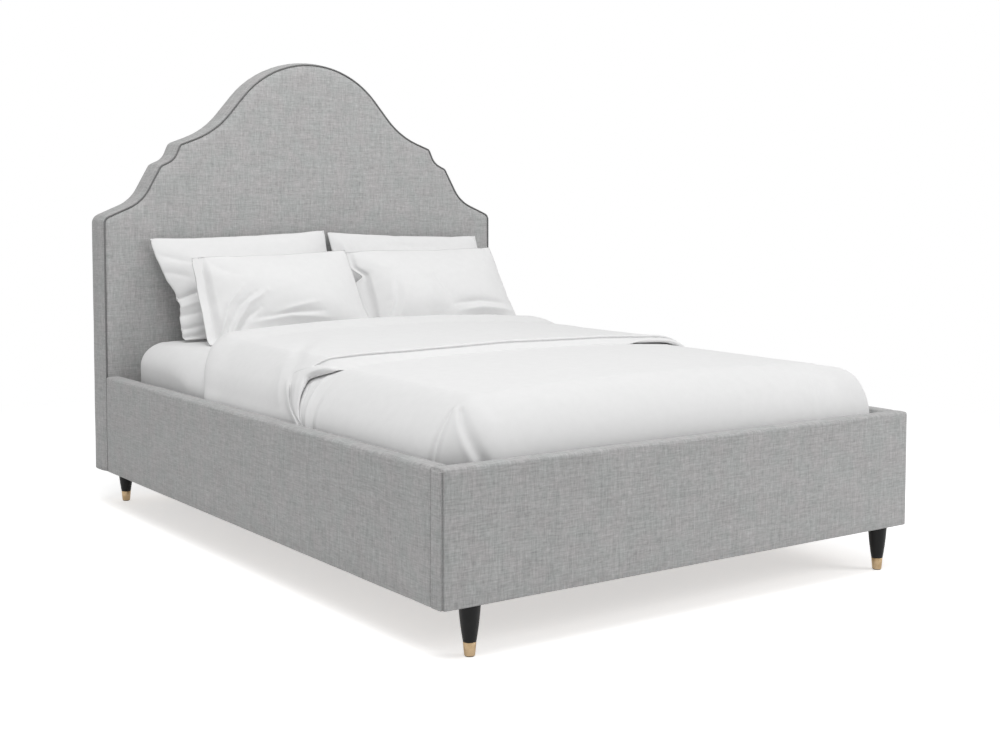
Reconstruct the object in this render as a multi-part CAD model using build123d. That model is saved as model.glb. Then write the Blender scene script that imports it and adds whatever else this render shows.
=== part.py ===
"""Upholstered bed with a crown headboard, box rails, a slatted base and made-up bedding.

Millimetres, +Z up. The origin is on the floor under the middle of the bed, the foot is at -Y and the head
is at +Y. Each piece of the bed is one node, written to parts/NODE.step.
"""
import os
from math import cos, radians, sin

from build123d import *

# Outer sizes
WIDTH = 1560.0
UNDERSIDE = 121.0
RAIL_HEIGHT = 320.0
RAIL_THICKNESS = 50.0
RAIL_LENGTH = 2025.0
HEADBOARD_TOP = 1522.0
HEADBOARD_DEPTH = 120.0

# Clearance between pieces that seat on each other
FIT = 0.3

# Crown outline of the headboard, from the apex outwards: radii, slopes below the level, straight runs
DOME_RADIUS = 354.0
FLANK_SLOPE = 49.5
FLANK_RUN = 83.0
FLANK_HOLLOW_RADIUS = 305.0
SHELF_SLOPE = 20.3
SHELF_RUN = 52.0
STEP_CORNER_RADIUS = 18.0
STEP_SLOPE = 66.0
STEP_RUN = 25.0
STEP_HOLLOW_RADIUS = 64.0
LEDGE_SLOPE = 24.0
LEDGE_RUN = 22.0
SWEEP_SLOPE = 60.5
SWEEP_RUN = 86.0
SWEEP_HOLLOW_RADIUS = 141.0
SHOULDER_SLOPE = 23.0
SHOULDER_RUN = 78.0
SHOULDER_CORNER_RADIUS = 28.0

# Upholstery of the headboard
PIPING_RADIUS = 4.0
PANEL_CLOTH = 3.0
HEADBOARD_FOAM = 28.0
HEADBOARD_PLY = 12.0
BACK_LINING = 2.0
UPRIGHT_WIDTH = 70.0
UPRIGHT_INSET = 120.0
CROSS_RAIL_HEIGHT = 90.0
UPPER_RAIL_BELOW_TOP = 662.0

# Upholstery of the rails and footboard
RAIL_PADDING = 10.0
RAIL_EDGE_RADIUS = 9.0
INNER_WRAP = 90.0

# Corner brackets
BRACKET_STEEL = 3.0
BRACKET_ARM = 70.0
BRACKET_HEIGHT = 110.0
BRACKET_BOTTOM = 160.0
BOLT_DIAMETER = 8.0
BOLT_HEAD_DIAMETER = 14.0
BOLT_HEAD_HEIGHT = 5.0
BOLT_REACH = 22.0
BOLT_SPACING = 60.0

# Legs
LEG_SIDE_INSET = 92.0
FRONT_LEG_INSET = 28.0
LEG_TOP_DIAMETER = 52.0
LEG_SWELL = 1.2
FERRULE_HEIGHT = 34.0
FERRULE_TOP_DIAMETER = 31.5
FERRULE_FOOT_DIAMETER = 26.0
FERRULE_WALL = 1.2
GLIDE_HEIGHT = 2.0
GLIDE_DIAMETER = 22.0
LEG_PLATE_LENGTH = 90.0
LEG_PLATE_WIDTH = 22.0
LEG_PLATE_STEEL = 3.0
HANGER_DIAMETER = 8.0
HANGER_HALF = 34.0

# Slatted base
MATTRESS_BOTTOM = 352.0
SLAT_COUNT = 14
SLAT_WIDTH = 53.0
SLAT_THICKNESS = 8.0
SLAT_BOW = 10.0
CAP_LENGTH = 44.0
CAP_WALL = 3.0
TUBE_HEIGHT = 40.0
TUBE_WIDTH = 25.0
TUBE_WALL = 2.0
CENTRE_TUBE_WIDTH = 50.0
BASE_GAP = 10.0
LEDGE_WIDTH = 30.0
LEDGE_HEIGHT = 40.0
LEDGE_END_GAP = 85.0
SCREW_DIAMETER = 5.0
SCREW_HEAD_DIAMETER = 10.0
SCREW_HEAD_HEIGHT = 3.0
SCREW_BITE = 15.0
LEDGE_SCREW_COUNT = 6
PROP_DIAMETER = 32.0
PROP_WALL = 2.0
PROP_SPACING = 800.0
PROP_PAD_DIAMETER = 46.0
PROP_PAD_HEIGHT = 14.0

# Mattress in its fitted sheet, with the room that the rails, footboard and headboard leave round it
MATTRESS_SIDE_GAP = 30.0
MATTRESS_FOOT_GAP = 17.0
MATTRESS_HEAD_GAP = 6.0
MATTRESS_HEIGHT = 200.0
MATTRESS_CORNER = 75.0
MATTRESS_EDGE = 32.0
SHEET = 2.0
SHEET_HEM = 90.0

# Duvet, tucked in round the mattress, with its top end turned back
DUVET_GAP = 1.0
DUVET_SIDE = 18.0
DUVET_FOOT = 9.0
DUVET_HEM_HEIGHT = 392.0
DUVET_FOOT_LOFT = 16.0
DUVET_FOOT_CROWN = 14.0
DUVET_HEAD_LOFT = 26.0
DUVET_HEAD_CROWN = 20.0
DUVET_SHOULDER = 58.0
DUVET_FOOT_ROUND = 44.0
CUFF_LOFT = 22.0
CUFF_LENGTH = 495.0
CUFF_EDGE = 9.0
DUVET_TO_HEADBOARD = 492.0
PLEAT_SIDE_INSETS = (62.0, 112.0)
PLEAT_FOOT_RADIUS = 4.0
PLEAT_TOP_RADIUS = 15.0
PLEAT_HEIGHT = 105.0
PLEAT_LEAN = 16.0
PLEAT_ABOVE_RAIL = 4.0

# Pillows: size of each pair, the lean in degrees, where the foot stands and the room between the pillows
LARGE_PILLOW_WIDTH = 665.0
LARGE_PILLOW_HEIGHT = 385.0
LARGE_PILLOW_THICKNESS = 125.0
LARGE_PILLOW_LEAN = 21.0
LARGE_PILLOW_TO_HEADBOARD = 166.0
LARGE_PILLOW_GAP = 9.0
SMALL_PILLOW_WIDTH = 575.0
SMALL_PILLOW_HEIGHT = 345.0
SMALL_PILLOW_THICKNESS = 125.0
SMALL_PILLOW_LEAN = 31.0
SMALL_PILLOW_TO_HEADBOARD = 362.0
SMALL_PILLOW_GAP = 59.0
SMALL_PILLOWS_MIDDLE = 55.0
PILLOW_HEM = 16.0
PILLOW_DRAW_IN = 14.0
# Where between middle and hem the swell starts to fall, and its thickness there, as shares of the full ones
PILLOW_SWELL_PLACE = 0.72
PILLOW_SWELL_SHARE = 0.78

# Places that follow from the sizes above
HALF_WIDTH = WIDTH / 2
RAIL_TOP = UNDERSIDE + RAIL_HEIGHT
LENGTH = RAIL_THICKNESS + RAIL_LENGTH + HEADBOARD_DEPTH
FOOT_FRONT = -LENGTH / 2
FOOT_BACK = FOOT_FRONT + RAIL_THICKNESS
HEAD_FRONT = FOOT_BACK + RAIL_LENGTH
HEAD_BACK = LENGTH / 2
BOXING = 2 * PIPING_RADIUS
BOARD = RAIL_THICKNESS - 2 * RAIL_PADDING
BOARD_INNER = RAIL_PADDING + BOARD
BOARD_TOP = RAIL_TOP - RAIL_PADDING - FIT
PLY_FRONT = HEAD_FRONT + PANEL_CLOTH + HEADBOARD_FOAM
FRAME_FRONT = PLY_FRONT + HEADBOARD_PLY
FRAME_BACK = HEAD_BACK - BACK_LINING - HEADBOARD_PLY
LEG_X = HALF_WIDTH - LEG_SIDE_INSET
FRONT_LEG_Y = FOOT_FRONT + FRONT_LEG_INSET
REAR_LEG_Y = (FRAME_FRONT + FRAME_BACK) / 2
LEG_SPOTS = {
    "front_left": (-LEG_X, FRONT_LEG_Y),
    "front_right": (LEG_X, FRONT_LEG_Y),
    "rear_left": (-LEG_X, REAR_LEG_Y),
    "rear_right": (LEG_X, REAR_LEG_Y),
}
SLAT_TOP = MATTRESS_BOTTOM - FIT
SLAT_END_TOP = SLAT_TOP - SLAT_BOW
CAP_BOTTOM = SLAT_END_TOP - SLAT_THICKNESS - CAP_WALL - FIT
TUBE_BOTTOM = CAP_BOTTOM - TUBE_HEIGHT
BASE_FOOT = FOOT_FRONT + BOARD_INNER + BASE_GAP
BASE_HEAD = HEAD_FRONT - BASE_GAP
BASE_HALF_WIDTH = HALF_WIDTH - BOARD_INNER - FIT - BASE_GAP
MATTRESS_WIDTH = WIDTH - 2 * (RAIL_THICKNESS + MATTRESS_SIDE_GAP)
MATTRESS_HEAD = HEAD_FRONT - MATTRESS_HEAD_GAP - SHEET
MATTRESS_FOOT = FOOT_BACK + MATTRESS_FOOT_GAP
MATTRESS_TOP = MATTRESS_BOTTOM + SHEET + MATTRESS_HEIGHT
SHEET_TOP = MATTRESS_TOP + SHEET + FIT
DUVET_INNER_X = MATTRESS_WIDTH / 2 + SHEET + FIT + DUVET_GAP
DUVET_OUTER_X = DUVET_INNER_X + DUVET_SIDE
DUVET_INNER_FOOT = MATTRESS_FOOT - SHEET - FIT - DUVET_GAP
DUVET_OUTER_FOOT = DUVET_INNER_FOOT - DUVET_FOOT
DUVET_HEAD = HEAD_FRONT - DUVET_TO_HEADBOARD
LARGE_PILLOW_X = (LARGE_PILLOW_WIDTH + LARGE_PILLOW_GAP) / 2
SMALL_PILLOW_X = (SMALL_PILLOW_WIDTH + SMALL_PILLOW_GAP) / 2
FROM_BELOW = (Align.CENTER, Align.CENTER, Align.MIN)


def box(x, y, z):
    """A box between the low and high values given for each axis."""
    size = Box(x[1] - x[0], y[1] - y[0], z[1] - z[0], align=(Align.MIN, Align.MIN, Align.MIN))
    return Pos(x[0], y[0], z[0]) * size


def rod(radius, start, axis, length):
    """A round bar from a start point along an axis."""
    return Plane(origin=start, z_dir=axis) * Cylinder(radius, length, align=FROM_BELOW)


def crown_runs(inset):
    """Straight and round stretches of the crown's right half: (radius or None, length or new slope)."""
    stretches = [
        [DOME_RADIUS, FLANK_SLOPE],
        [None, FLANK_RUN],
        [FLANK_HOLLOW_RADIUS, SHELF_SLOPE],
        [None, SHELF_RUN],
        [STEP_CORNER_RADIUS, STEP_SLOPE],
        [None, STEP_RUN],
        [STEP_HOLLOW_RADIUS, LEDGE_SLOPE],
        [None, LEDGE_RUN],
        [STEP_CORNER_RADIUS, SWEEP_SLOPE],
        [None, SWEEP_RUN],
        [SWEEP_HOLLOW_RADIUS, SHOULDER_SLOPE],
        [None, SHOULDER_RUN],
        [SHOULDER_CORNER_RADIUS, 90.0],
    ]
    slope = 0.0
    reach = 0.0
    slopes = []
    for stretch in stretches:
        radius, value = stretch
        slopes.append(slope)
        if radius is None:
            reach += value * cos(radians(slope))
            continue
        turn = sin(radians(value)) - sin(radians(slope))
        reach += abs(turn) * radius
        stretch[0] = radius - inset if value > slope else radius + inset
        slope = value
    # A change of width is shared by the three longest straight runs
    stretched = (1, 3, 11)
    spare = (HALF_WIDTH - reach) / len(stretched)
    for place in stretched:
        stretches[place][1] += spare / cos(radians(slopes[place]))
    return stretches


def crown_edges(inset, y):
    """Edges of the crown outline drawn in by an inset, from the left underside to the right underside."""
    x, z, slope = 0.0, HEADBOARD_TOP - inset, 0.0
    right = []
    for radius, value in crown_runs(inset):
        start = (x, z)
        heading = radians(slope)
        if radius is None:
            x += value * cos(heading)
            z -= value * sin(heading)
            right.append((start, (x, z)))
            continue
        side = 1 if value > slope else -1
        centre = (x - side * radius * sin(heading), z - side * radius * cos(heading))
        middle, end = (
            (centre[0] + side * radius * sin(radians(a)), centre[1] + side * radius * cos(radians(a)))
            for a in ((slope + value) / 2, value)
        )
        x, z = end
        right.append((start, middle, end))
        slope = value
    right.append(((x, z), (x, UNDERSIDE)))
    left = [[(-px, pz) for px, pz in reversed(points)] for points in reversed(right)]
    edges = []
    for points in left + right:
        spots = [Vector(px, y, pz) for px, pz in points]
        maker = Edge.make_line if len(spots) == 2 else Edge.make_three_point_arc
        edges.append(maker(*spots))
    return edges


def crown_slab(inset, front, back):
    """A board of the crown outline, drawn in by an inset, between two depths."""
    edges = crown_edges(inset, front)
    foot = Edge.make_line(edges[-1] @ 1, edges[0] @ 0)
    face = Face(Wire(edges + [foot]))
    return extrude(face, back - front, dir=(0, 1, 0))


def headboard_upholstery():
    """Front panel, foam, boxing band, piping and back lining, all on the one crown outline."""
    inner = BOXING + FIT
    boxing = crown_slab(0, HEAD_FRONT + BOXING + FIT, HEAD_BACK)
    boxing -= crown_slab(BOXING, HEAD_FRONT, HEAD_BACK + BOXING)
    path = Wire(crown_edges(PIPING_RADIUS, HEAD_FRONT + PIPING_RADIUS))
    piping = sweep(Plane(origin=path @ 0, z_dir=(0, 0, 1)) * Circle(PIPING_RADIUS), path)
    holes = Compound(both_sides([bolt_room()]))
    return {
        "headboard_front_panel": crown_slab(inner, HEAD_FRONT, HEAD_FRONT + PANEL_CLOTH) - holes,
        "headboard_foam": crown_slab(inner, HEAD_FRONT + PANEL_CLOTH, PLY_FRONT) - holes,
        "headboard_boxing": boxing,
        "headboard_piping": piping,
        "headboard_back_lining": crown_slab(inner, HEAD_BACK - BACK_LINING, HEAD_BACK),
    }


def headboard_frame():
    """Two crown boards of plywood with uprights and cross rails between them."""
    inner = BOXING + FIT
    depth = (FRAME_FRONT, FRAME_BACK)
    upright_out = HALF_WIDTH - UPRIGHT_INSET
    upright_in = upright_out - UPRIGHT_WIDTH
    upright_top = HEADBOARD_TOP - UPPER_RAIL_BELOW_TOP
    lower_top = UNDERSIDE + CROSS_RAIL_HEIGHT
    lower = box((-HALF_WIDTH + inner, HALF_WIDTH - inner), depth, (UNDERSIDE, lower_top))
    for name in ("rear_left", "rear_right"):
        lower -= leg_fixing(LEG_SPOTS[name])
    upper = box((-upright_out, upright_out), depth, (upright_top, upright_top + CROSS_RAIL_HEIGHT))
    holes = Compound(both_sides([bolt_room()]))
    nodes = {
        "headboard_front_board": crown_slab(inner, PLY_FRONT, FRAME_FRONT) - holes,
        "headboard_back_board": crown_slab(inner, FRAME_BACK, HEAD_BACK - BACK_LINING),
        "headboard_lower_rail": lower,
        "headboard_upper_rail": upper,
    }
    for side, sign in (("left", -1), ("right", 1)):
        x = sorted((sign * upright_in, sign * upright_out))
        nodes[f"headboard_upright_{side}"] = box(x, depth, (lower_top, upright_top))
    return nodes


def rail_section():
    """Section of a rail's padded cover, outer face at X 0, wrapped over the board and down inside."""
    outer = Pos(RAIL_THICKNESS / 2, (UNDERSIDE + RAIL_TOP) / 2) * Rectangle(RAIL_THICKNESS, RAIL_HEIGHT)
    outer = fillet(outer.vertices().group_by(Axis.Y)[-1], RAIL_EDGE_RADIUS)
    low = (BOARD_TOP + FIT + UNDERSIDE) / 2
    slot = Pos(RAIL_THICKNESS / 2, low) * Rectangle(BOARD + 2 * FIT, BOARD_TOP + FIT - UNDERSIDE)
    bare = RAIL_HEIGHT - INNER_WRAP
    inside = Pos(RAIL_THICKNESS - RAIL_PADDING / 2, UNDERSIDE + bare / 2) * Rectangle(RAIL_PADDING, bare)
    return outer - slot - inside


def side_rails():
    """Left and right rails: a board and its padded cover, from the footboard to the headboard."""
    nodes = {}
    cover = extrude(Plane.XZ.offset(-HEAD_FRONT) * rail_section(), RAIL_LENGTH)
    board = box((RAIL_PADDING, BOARD_INNER), (FOOT_BACK, HEAD_FRONT), (UNDERSIDE, BOARD_TOP))
    board -= bolt_room()
    for spot in ledge_screw_spots():
        board -= ledge_screw(spot, SCREW_DIAMETER / 2 + FIT)
    for name, shape in (("cover", cover), ("board", board)):
        for side, placed in zip(("left", "right"), both_sides([shape])):
            nodes[f"side_rail_{side}_{name}"] = placed
    return nodes


def footboard():
    """Footboard across the full width: a board and its padded cover."""
    x = (-HALF_WIDTH, HALF_WIDTH)
    cover = box(x, (FOOT_FRONT, FOOT_BACK), (UNDERSIDE, RAIL_TOP))
    rounded = cover.edges().filter_by(Axis.Z) + cover.edges().group_by(Axis.Z)[-1]
    cover = fillet(rounded, RAIL_EDGE_RADIUS)
    inner = HALF_WIDTH - RAIL_PADDING
    y = (FOOT_FRONT + RAIL_PADDING, FOOT_FRONT + BOARD_INNER)
    cover -= box((-inner, inner), (y[0] - FIT, y[1] + FIT), (UNDERSIDE, BOARD_TOP + FIT))
    between = HALF_WIDTH - BOARD_INNER
    cover -= box((-between, between), (y[1], FOOT_BACK), (UNDERSIDE, RAIL_TOP - INNER_WRAP))
    board = box((-inner + FIT, inner - FIT), y, (UNDERSIDE, BOARD_TOP))
    board -= Compound(both_sides([bolt_room()]))
    for name in ("front_left", "front_right"):
        board -= leg_fixing(LEG_SPOTS[name])
    return {"footboard_cover": cover, "footboard_board": board}


def leg_fixing(spot):
    """Room for a leg's plate and hanger bolt in the wood above the leg."""
    plate = Pos(*spot, UNDERSIDE) * Box(
        LEG_PLATE_LENGTH + 2 * FIT, LEG_PLATE_WIDTH + 2 * FIT, LEG_PLATE_STEEL, align=FROM_BELOW
    )
    return plate + rod(HANGER_DIAMETER / 2 + FIT, (*spot, UNDERSIDE), (0, 0, 1), HANGER_HALF + FIT)


def leg_shape():
    """Tapered leg with a slight swell and a stub that fits in the ferrule."""
    top = LEG_TOP_DIAMETER / 2
    low = FERRULE_TOP_DIAMETER / 2
    stub = low - FERRULE_WALL - FIT
    stub_end = FERRULE_FOOT_DIAMETER / 2 - FERRULE_WALL - FIT
    stub_bottom = GLIDE_HEIGHT + FERRULE_WALL + FIT
    middle = ((top + low) / 2 + LEG_SWELL, (UNDERSIDE + FERRULE_HEIGHT) / 2)
    swell = ThreePointArc((low, FERRULE_HEIGHT), middle, (top, UNDERSIDE))
    inside = Polyline((top, UNDERSIDE), (0, UNDERSIDE), (0, stub_bottom), (stub_end, stub_bottom),
                      (stub, FERRULE_HEIGHT), (low, FERRULE_HEIGHT))
    leg = revolve(Plane.XZ * make_face(swell + inside), Axis.Z)
    return leg - rod(HANGER_DIAMETER / 2 + FIT, (0, 0, UNDERSIDE), (0, 0, -1), HANGER_HALF + FIT)


def ferrule_shape():
    """Tapered brass cup round the end of a leg."""
    top = FERRULE_TOP_DIAMETER / 2
    foot = FERRULE_FOOT_DIAMETER / 2
    floor = GLIDE_HEIGHT + FERRULE_WALL
    outline = Polyline((0, GLIDE_HEIGHT), (foot, GLIDE_HEIGHT), (top, FERRULE_HEIGHT),
                       (top - FERRULE_WALL, FERRULE_HEIGHT), (foot - FERRULE_WALL, floor), (0, floor),
                       close=True)
    return revolve(Plane.XZ * make_face(outline), Axis.Z)


def legs():
    """Four legs with ferrules, glides, plates and hanger bolts."""
    nodes = {}
    leg = leg_shape()
    ferrule = ferrule_shape()
    glide = Cylinder(GLIDE_DIAMETER / 2, GLIDE_HEIGHT, align=FROM_BELOW)
    hanger = rod(HANGER_DIAMETER / 2, (0, 0, UNDERSIDE - HANGER_HALF), (0, 0, 1), 2 * HANGER_HALF)
    plate = Pos(0, 0, UNDERSIDE) * Box(LEG_PLATE_LENGTH, LEG_PLATE_WIDTH, LEG_PLATE_STEEL, align=FROM_BELOW)
    plate -= rod(HANGER_DIAMETER / 2 + FIT, (0, 0, UNDERSIDE), (0, 0, 1), LEG_PLATE_STEEL)
    for name, spot in LEG_SPOTS.items():
        nodes[f"leg_{name}"] = Pos(*spot, 0) * leg
        nodes[f"ferrule_{name}"] = Pos(*spot, 0) * ferrule
    for name, shape in (("glides", glide), ("leg_plates", plate), ("hanger_bolts", hanger)):
        nodes[name] = Compound([Pos(*spot, 0) * shape for spot in LEG_SPOTS.values()])
    return nodes


def bracket_corners():
    """Corners of the left rail's two brackets in the rail's own frame: y, way along the rail, bolt reach."""
    through_headboard = PANEL_CLOTH + HEADBOARD_FOAM + HEADBOARD_PLY
    return [(FOOT_FRONT + BOARD_INNER, 1, BOLT_REACH), (HEAD_FRONT, -1, through_headboard)]


def bracket_bolts(corner, radius):
    """Shanks of a bracket's four bolts, two into the rail board and two into the end board."""
    y, along, reach = corner
    middle = BRACKET_BOTTOM + BRACKET_HEIGHT / 2
    place = BRACKET_STEEL + BRACKET_ARM / 2
    shanks = []
    for z in (middle - BOLT_SPACING / 2, middle + BOLT_SPACING / 2):
        in_rail = (BOARD_INNER + BRACKET_STEEL, y + along * place, z)
        in_end = (BOARD_INNER + place, y + along * BRACKET_STEEL, z)
        shanks.append((in_rail, (-1, 0, 0), BRACKET_STEEL + BOLT_REACH))
        shanks.append((in_end, (0, -along, 0), BRACKET_STEEL + reach))
    return [(start, axis, rod(radius, start, axis, length)) for start, axis, length in shanks]


def bolt_room():
    """Holes for the bolts of the left rail's brackets, in the rail's own frame."""
    holes = []
    for corner in bracket_corners():
        holes += [hole for _, _, hole in bracket_bolts(corner, BOLT_DIAMETER / 2 + FIT)]
    return Compound(holes)


def both_sides(solids):
    """Solids of the left rail's frame put in their place on the left, and mirrored to the right."""
    left = [Pos(-HALF_WIDTH, 0, 0) * solid for solid in solids]
    return left + [mirror(solid, about=Plane.YZ) for solid in left]


def brackets():
    """Steel angle in each corner between rail and end board, with the bolts that hold it."""
    angles = []
    bolts = []
    z = (BRACKET_BOTTOM, BRACKET_BOTTOM + BRACKET_HEIGHT)
    x = BOARD_INNER
    for corner in bracket_corners():
        y, along, _ = corner
        arm = sorted((y, y + along * BRACKET_ARM))
        wall = sorted((y, y + along * BRACKET_STEEL))
        angle = box((x, x + BRACKET_STEEL), arm, z) + box((x, x + BRACKET_ARM), wall, z)
        angles.append(angle - bolt_room())
        for start, axis, shank in bracket_bolts(corner, BOLT_DIAMETER / 2):
            outward = [-part for part in axis]
            bolts.append(shank + rod(BOLT_HEAD_DIAMETER / 2, start, outward, BOLT_HEAD_HEIGHT))
    return {"corner_brackets": Compound(both_sides(angles)), "bracket_bolts": Compound(both_sides(bolts))}


def ledge_screw_spots():
    """Places of the ledge screws along the left rail, in the rail's own frame."""
    first = FOOT_BACK + LEDGE_END_GAP + LEDGE_WIDTH
    last = HEAD_FRONT - LEDGE_END_GAP - LEDGE_WIDTH
    pitch = (last - first) / (LEDGE_SCREW_COUNT - 1)
    z = TUBE_BOTTOM - LEDGE_HEIGHT / 2
    return [(BOARD_INNER + LEDGE_WIDTH, first + pitch * n, z) for n in range(LEDGE_SCREW_COUNT)]


def ledge_screw(spot, radius):
    """Shank of a screw through the ledge into the rail board."""
    return rod(radius, spot, (-1, 0, 0), LEDGE_WIDTH + SCREW_BITE)


def ledges():
    """Timber ledge inside each rail, with its screws, to carry the slatted base."""
    x = (BOARD_INNER, BOARD_INNER + LEDGE_WIDTH)
    y = (FOOT_BACK + LEDGE_END_GAP, HEAD_FRONT - LEDGE_END_GAP)
    ledge = box(x, y, (TUBE_BOTTOM - LEDGE_HEIGHT, TUBE_BOTTOM))
    screws = []
    for spot in ledge_screw_spots():
        ledge -= ledge_screw(spot, SCREW_DIAMETER / 2 + FIT)
        head = rod(SCREW_HEAD_DIAMETER / 2, spot, (1, 0, 0), SCREW_HEAD_HEIGHT)
        screws.append(ledge_screw(spot, SCREW_DIAMETER / 2) + head)
    left, right = both_sides([ledge])
    return {"ledge_left": left, "ledge_right": right, "ledge_screws": Compound(both_sides(screws))}


def tube(x, y, along):
    """Rectangular steel tube of the base, open at its two ends."""
    z = (TUBE_BOTTOM, CAP_BOTTOM)
    wall = TUBE_WALL
    hollow_z = (z[0] + wall, z[1] - wall)
    if along == "x":
        return box(x, y, z) - box(x, (y[0] + wall, y[1] - wall), hollow_z)
    return box(x, y, z) - box((x[0] + wall, x[1] - wall), y, hollow_z)


def slat(left, right):
    """One sprung slat, bowed upwards, between two ends."""
    middle = (left + right) / 2
    top = ThreePointArc((left, SLAT_END_TOP), (middle, SLAT_TOP), (right, SLAT_END_TOP))
    low = SLAT_END_TOP - SLAT_THICKNESS
    bottom = ThreePointArc((right, low), (middle, low + SLAT_BOW), (left, low))
    ends = Line(top @ 1, bottom @ 0) + Line(bottom @ 1, top @ 0)
    return extrude(Plane.XZ * make_face(top + bottom + ends), SLAT_WIDTH / 2, both=True)


def slat_cap(outer, inner):
    """Moulded cap that holds a slat's end, closed towards the outside and open towards the slat."""
    x = sorted((outer, inner))
    half = SLAT_WIDTH / 2 + FIT + CAP_WALL
    top = SLAT_END_TOP + FIT + CAP_WALL
    step = CAP_WALL if inner > outer else -CAP_WALL
    room = sorted((outer + step, inner))
    # The slat climbs a little along its bow inside the cap
    climb = 4 * SLAT_BOW * CAP_LENGTH / slat_span()
    top += climb
    cap = box(x, (-half, half), (CAP_BOTTOM, top))
    return cap - box(room, (CAP_WALL - half, half - CAP_WALL), (CAP_BOTTOM + CAP_WALL, top - CAP_WALL))


def slat_span():
    """Length of a slat between the closed ends of its two caps."""
    return BASE_HALF_WIDTH - 2 * CAP_WALL - 2 * FIT


def slatted_base():
    """Steel tube frame, two banks of bowed slats in caps, and two props under the centre tube."""
    half = BASE_HALF_WIDTH
    y = (BASE_FOOT, BASE_HEAD)
    side_in = half - TUBE_WIDTH
    across = (-side_in, side_in)
    between = (BASE_FOOT + TUBE_WIDTH, BASE_HEAD - TUBE_WIDTH)
    centre = (-CENTRE_TUBE_WIDTH / 2, CENTRE_TUBE_WIDTH / 2)
    nodes = {
        "base_tube_left": tube((-half, -side_in), y, "y"),
        "base_tube_right": tube((side_in, half), y, "y"),
        "base_tube_foot": tube(across, (BASE_FOOT, between[0]), "x"),
        "base_tube_head": tube(across, (between[1], BASE_HEAD), "x"),
        "base_tube_centre": tube(centre, between, "y"),
    }
    pitch = (BASE_HEAD - BASE_FOOT) / SLAT_COUNT
    rows = [BASE_FOOT + pitch * (n + 0.5) for n in range(SLAT_COUNT)]
    gap = CAP_WALL + FIT
    bank = slat(-half + gap, -gap)
    caps = [slat_cap(-half, -half + CAP_LENGTH), slat_cap(-FIT / 2, -CAP_LENGTH)]
    for side in ("left", "right"):
        turned = [s if side == "left" else mirror(s, about=Plane.YZ) for s in [bank] + caps]
        nodes[f"slats_{side}"] = Compound([Pos(0, row, 0) * turned[0] for row in rows])
        nodes[f"slat_caps_{side}"] = Compound([Pos(0, row, 0) * cap for row in rows for cap in turned[1:]])
    return nodes


def props():
    """Two round props under the centre tube, each on a moulded pad."""
    up = (0, 0, 1)
    radius = PROP_DIAMETER / 2
    seat = PROP_PAD_HEIGHT / 2
    length = TUBE_BOTTOM - seat
    tubes = []
    pads = []
    for y in (-PROP_SPACING / 2, PROP_SPACING / 2):
        foot = (0, y, seat)
        tubes.append(rod(radius, foot, up, length) - rod(radius - PROP_WALL, foot, up, length))
        pad = rod(PROP_PAD_DIAMETER / 2, (0, y, 0), up, PROP_PAD_HEIGHT)
        pads.append(pad - rod(radius + FIT, foot, up, PROP_PAD_HEIGHT))
    return {"centre_props": Compound(tubes), "centre_prop_pads": Compound(pads)}


def padded_block(half_x, y, z, corner, edge):
    """A soft block with rounded corners in plan and rounded top and bottom edges."""
    plan = RectangleRounded(2 * half_x, y[1] - y[0], corner)
    block = extrude(Pos(0, (y[0] + y[1]) / 2, z[0]) * plan, z[1] - z[0])
    ends = block.faces().sort_by(Axis.Z)
    return fillet(ends[0].edges() + ends[-1].edges(), edge)


def mattress():
    """Mattress core and the fitted sheet round it, hemmed under the mattress."""
    half = MATTRESS_WIDTH / 2
    y = (MATTRESS_FOOT, MATTRESS_HEAD)
    z = (MATTRESS_BOTTOM + SHEET, MATTRESS_TOP)
    core = padded_block(half, y, z, MATTRESS_CORNER, MATTRESS_EDGE)
    shells = []
    for grow in (SHEET + FIT, FIT):
        around = (y[0] - grow, y[1] + grow)
        height = (z[0] - min(grow, SHEET), z[1] + grow)
        shells.append(padded_block(half + grow, around, height, MATTRESS_CORNER + grow, MATTRESS_EDGE + grow))
    hole = padded_block(half - SHEET_HEM, (y[0] + SHEET_HEM, y[1] - SHEET_HEM),
                        (MATTRESS_BOTTOM - MATTRESS_EDGE, MATTRESS_BOTTOM + MATTRESS_EDGE),
                        MATTRESS_CORNER, SHEET)
    return {"mattress_core": core, "fitted_sheet": shells[0] - shells[1] - hole}


def duvet_section(y, loft, crown):
    """Section across the duvet: tucked sides, rounded shoulders and a crowned top."""
    edge = SHEET_TOP + loft
    shoulder = DUVET_SHOULDER
    out = DUVET_OUTER_X
    turn = shoulder * (1 - cos(radians(45)))
    right = Vector(out, edge - shoulder)
    inner = Vector(out - shoulder, edge)
    middle = Vector(out - turn, edge - turn)
    flip = [Vector(-p.X, p.Y) for p in (right, middle, inner)]
    outline = [
        Polyline((-out, edge - shoulder), (-out, DUVET_HEM_HEIGHT), (out, DUVET_HEM_HEIGHT), right),
        ThreePointArc(right, middle, inner),
        ThreePointArc(inner, (0, edge + crown), flip[2]),
        ThreePointArc(flip[2], flip[1], flip[0]),
    ]
    return Plane.XZ.offset(-y) * make_face(Curve() + outline)


def pleats():
    """Two tapered ridges where the duvet is folded under at its left foot corner."""
    lean = radians(PLEAT_LEAN)
    ridges = []
    for inset in PLEAT_SIDE_INSETS:
        start = (-DUVET_OUTER_X + inset, DUVET_OUTER_FOOT, RAIL_TOP + PLEAT_ABOVE_RAIL)
        ridge = Cone(PLEAT_FOOT_RADIUS, PLEAT_TOP_RADIUS, PLEAT_HEIGHT, align=FROM_BELOW)
        ridges.append(Plane(origin=start, z_dir=(0, sin(lean), cos(lean))) * ridge)
    return ridges


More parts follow.
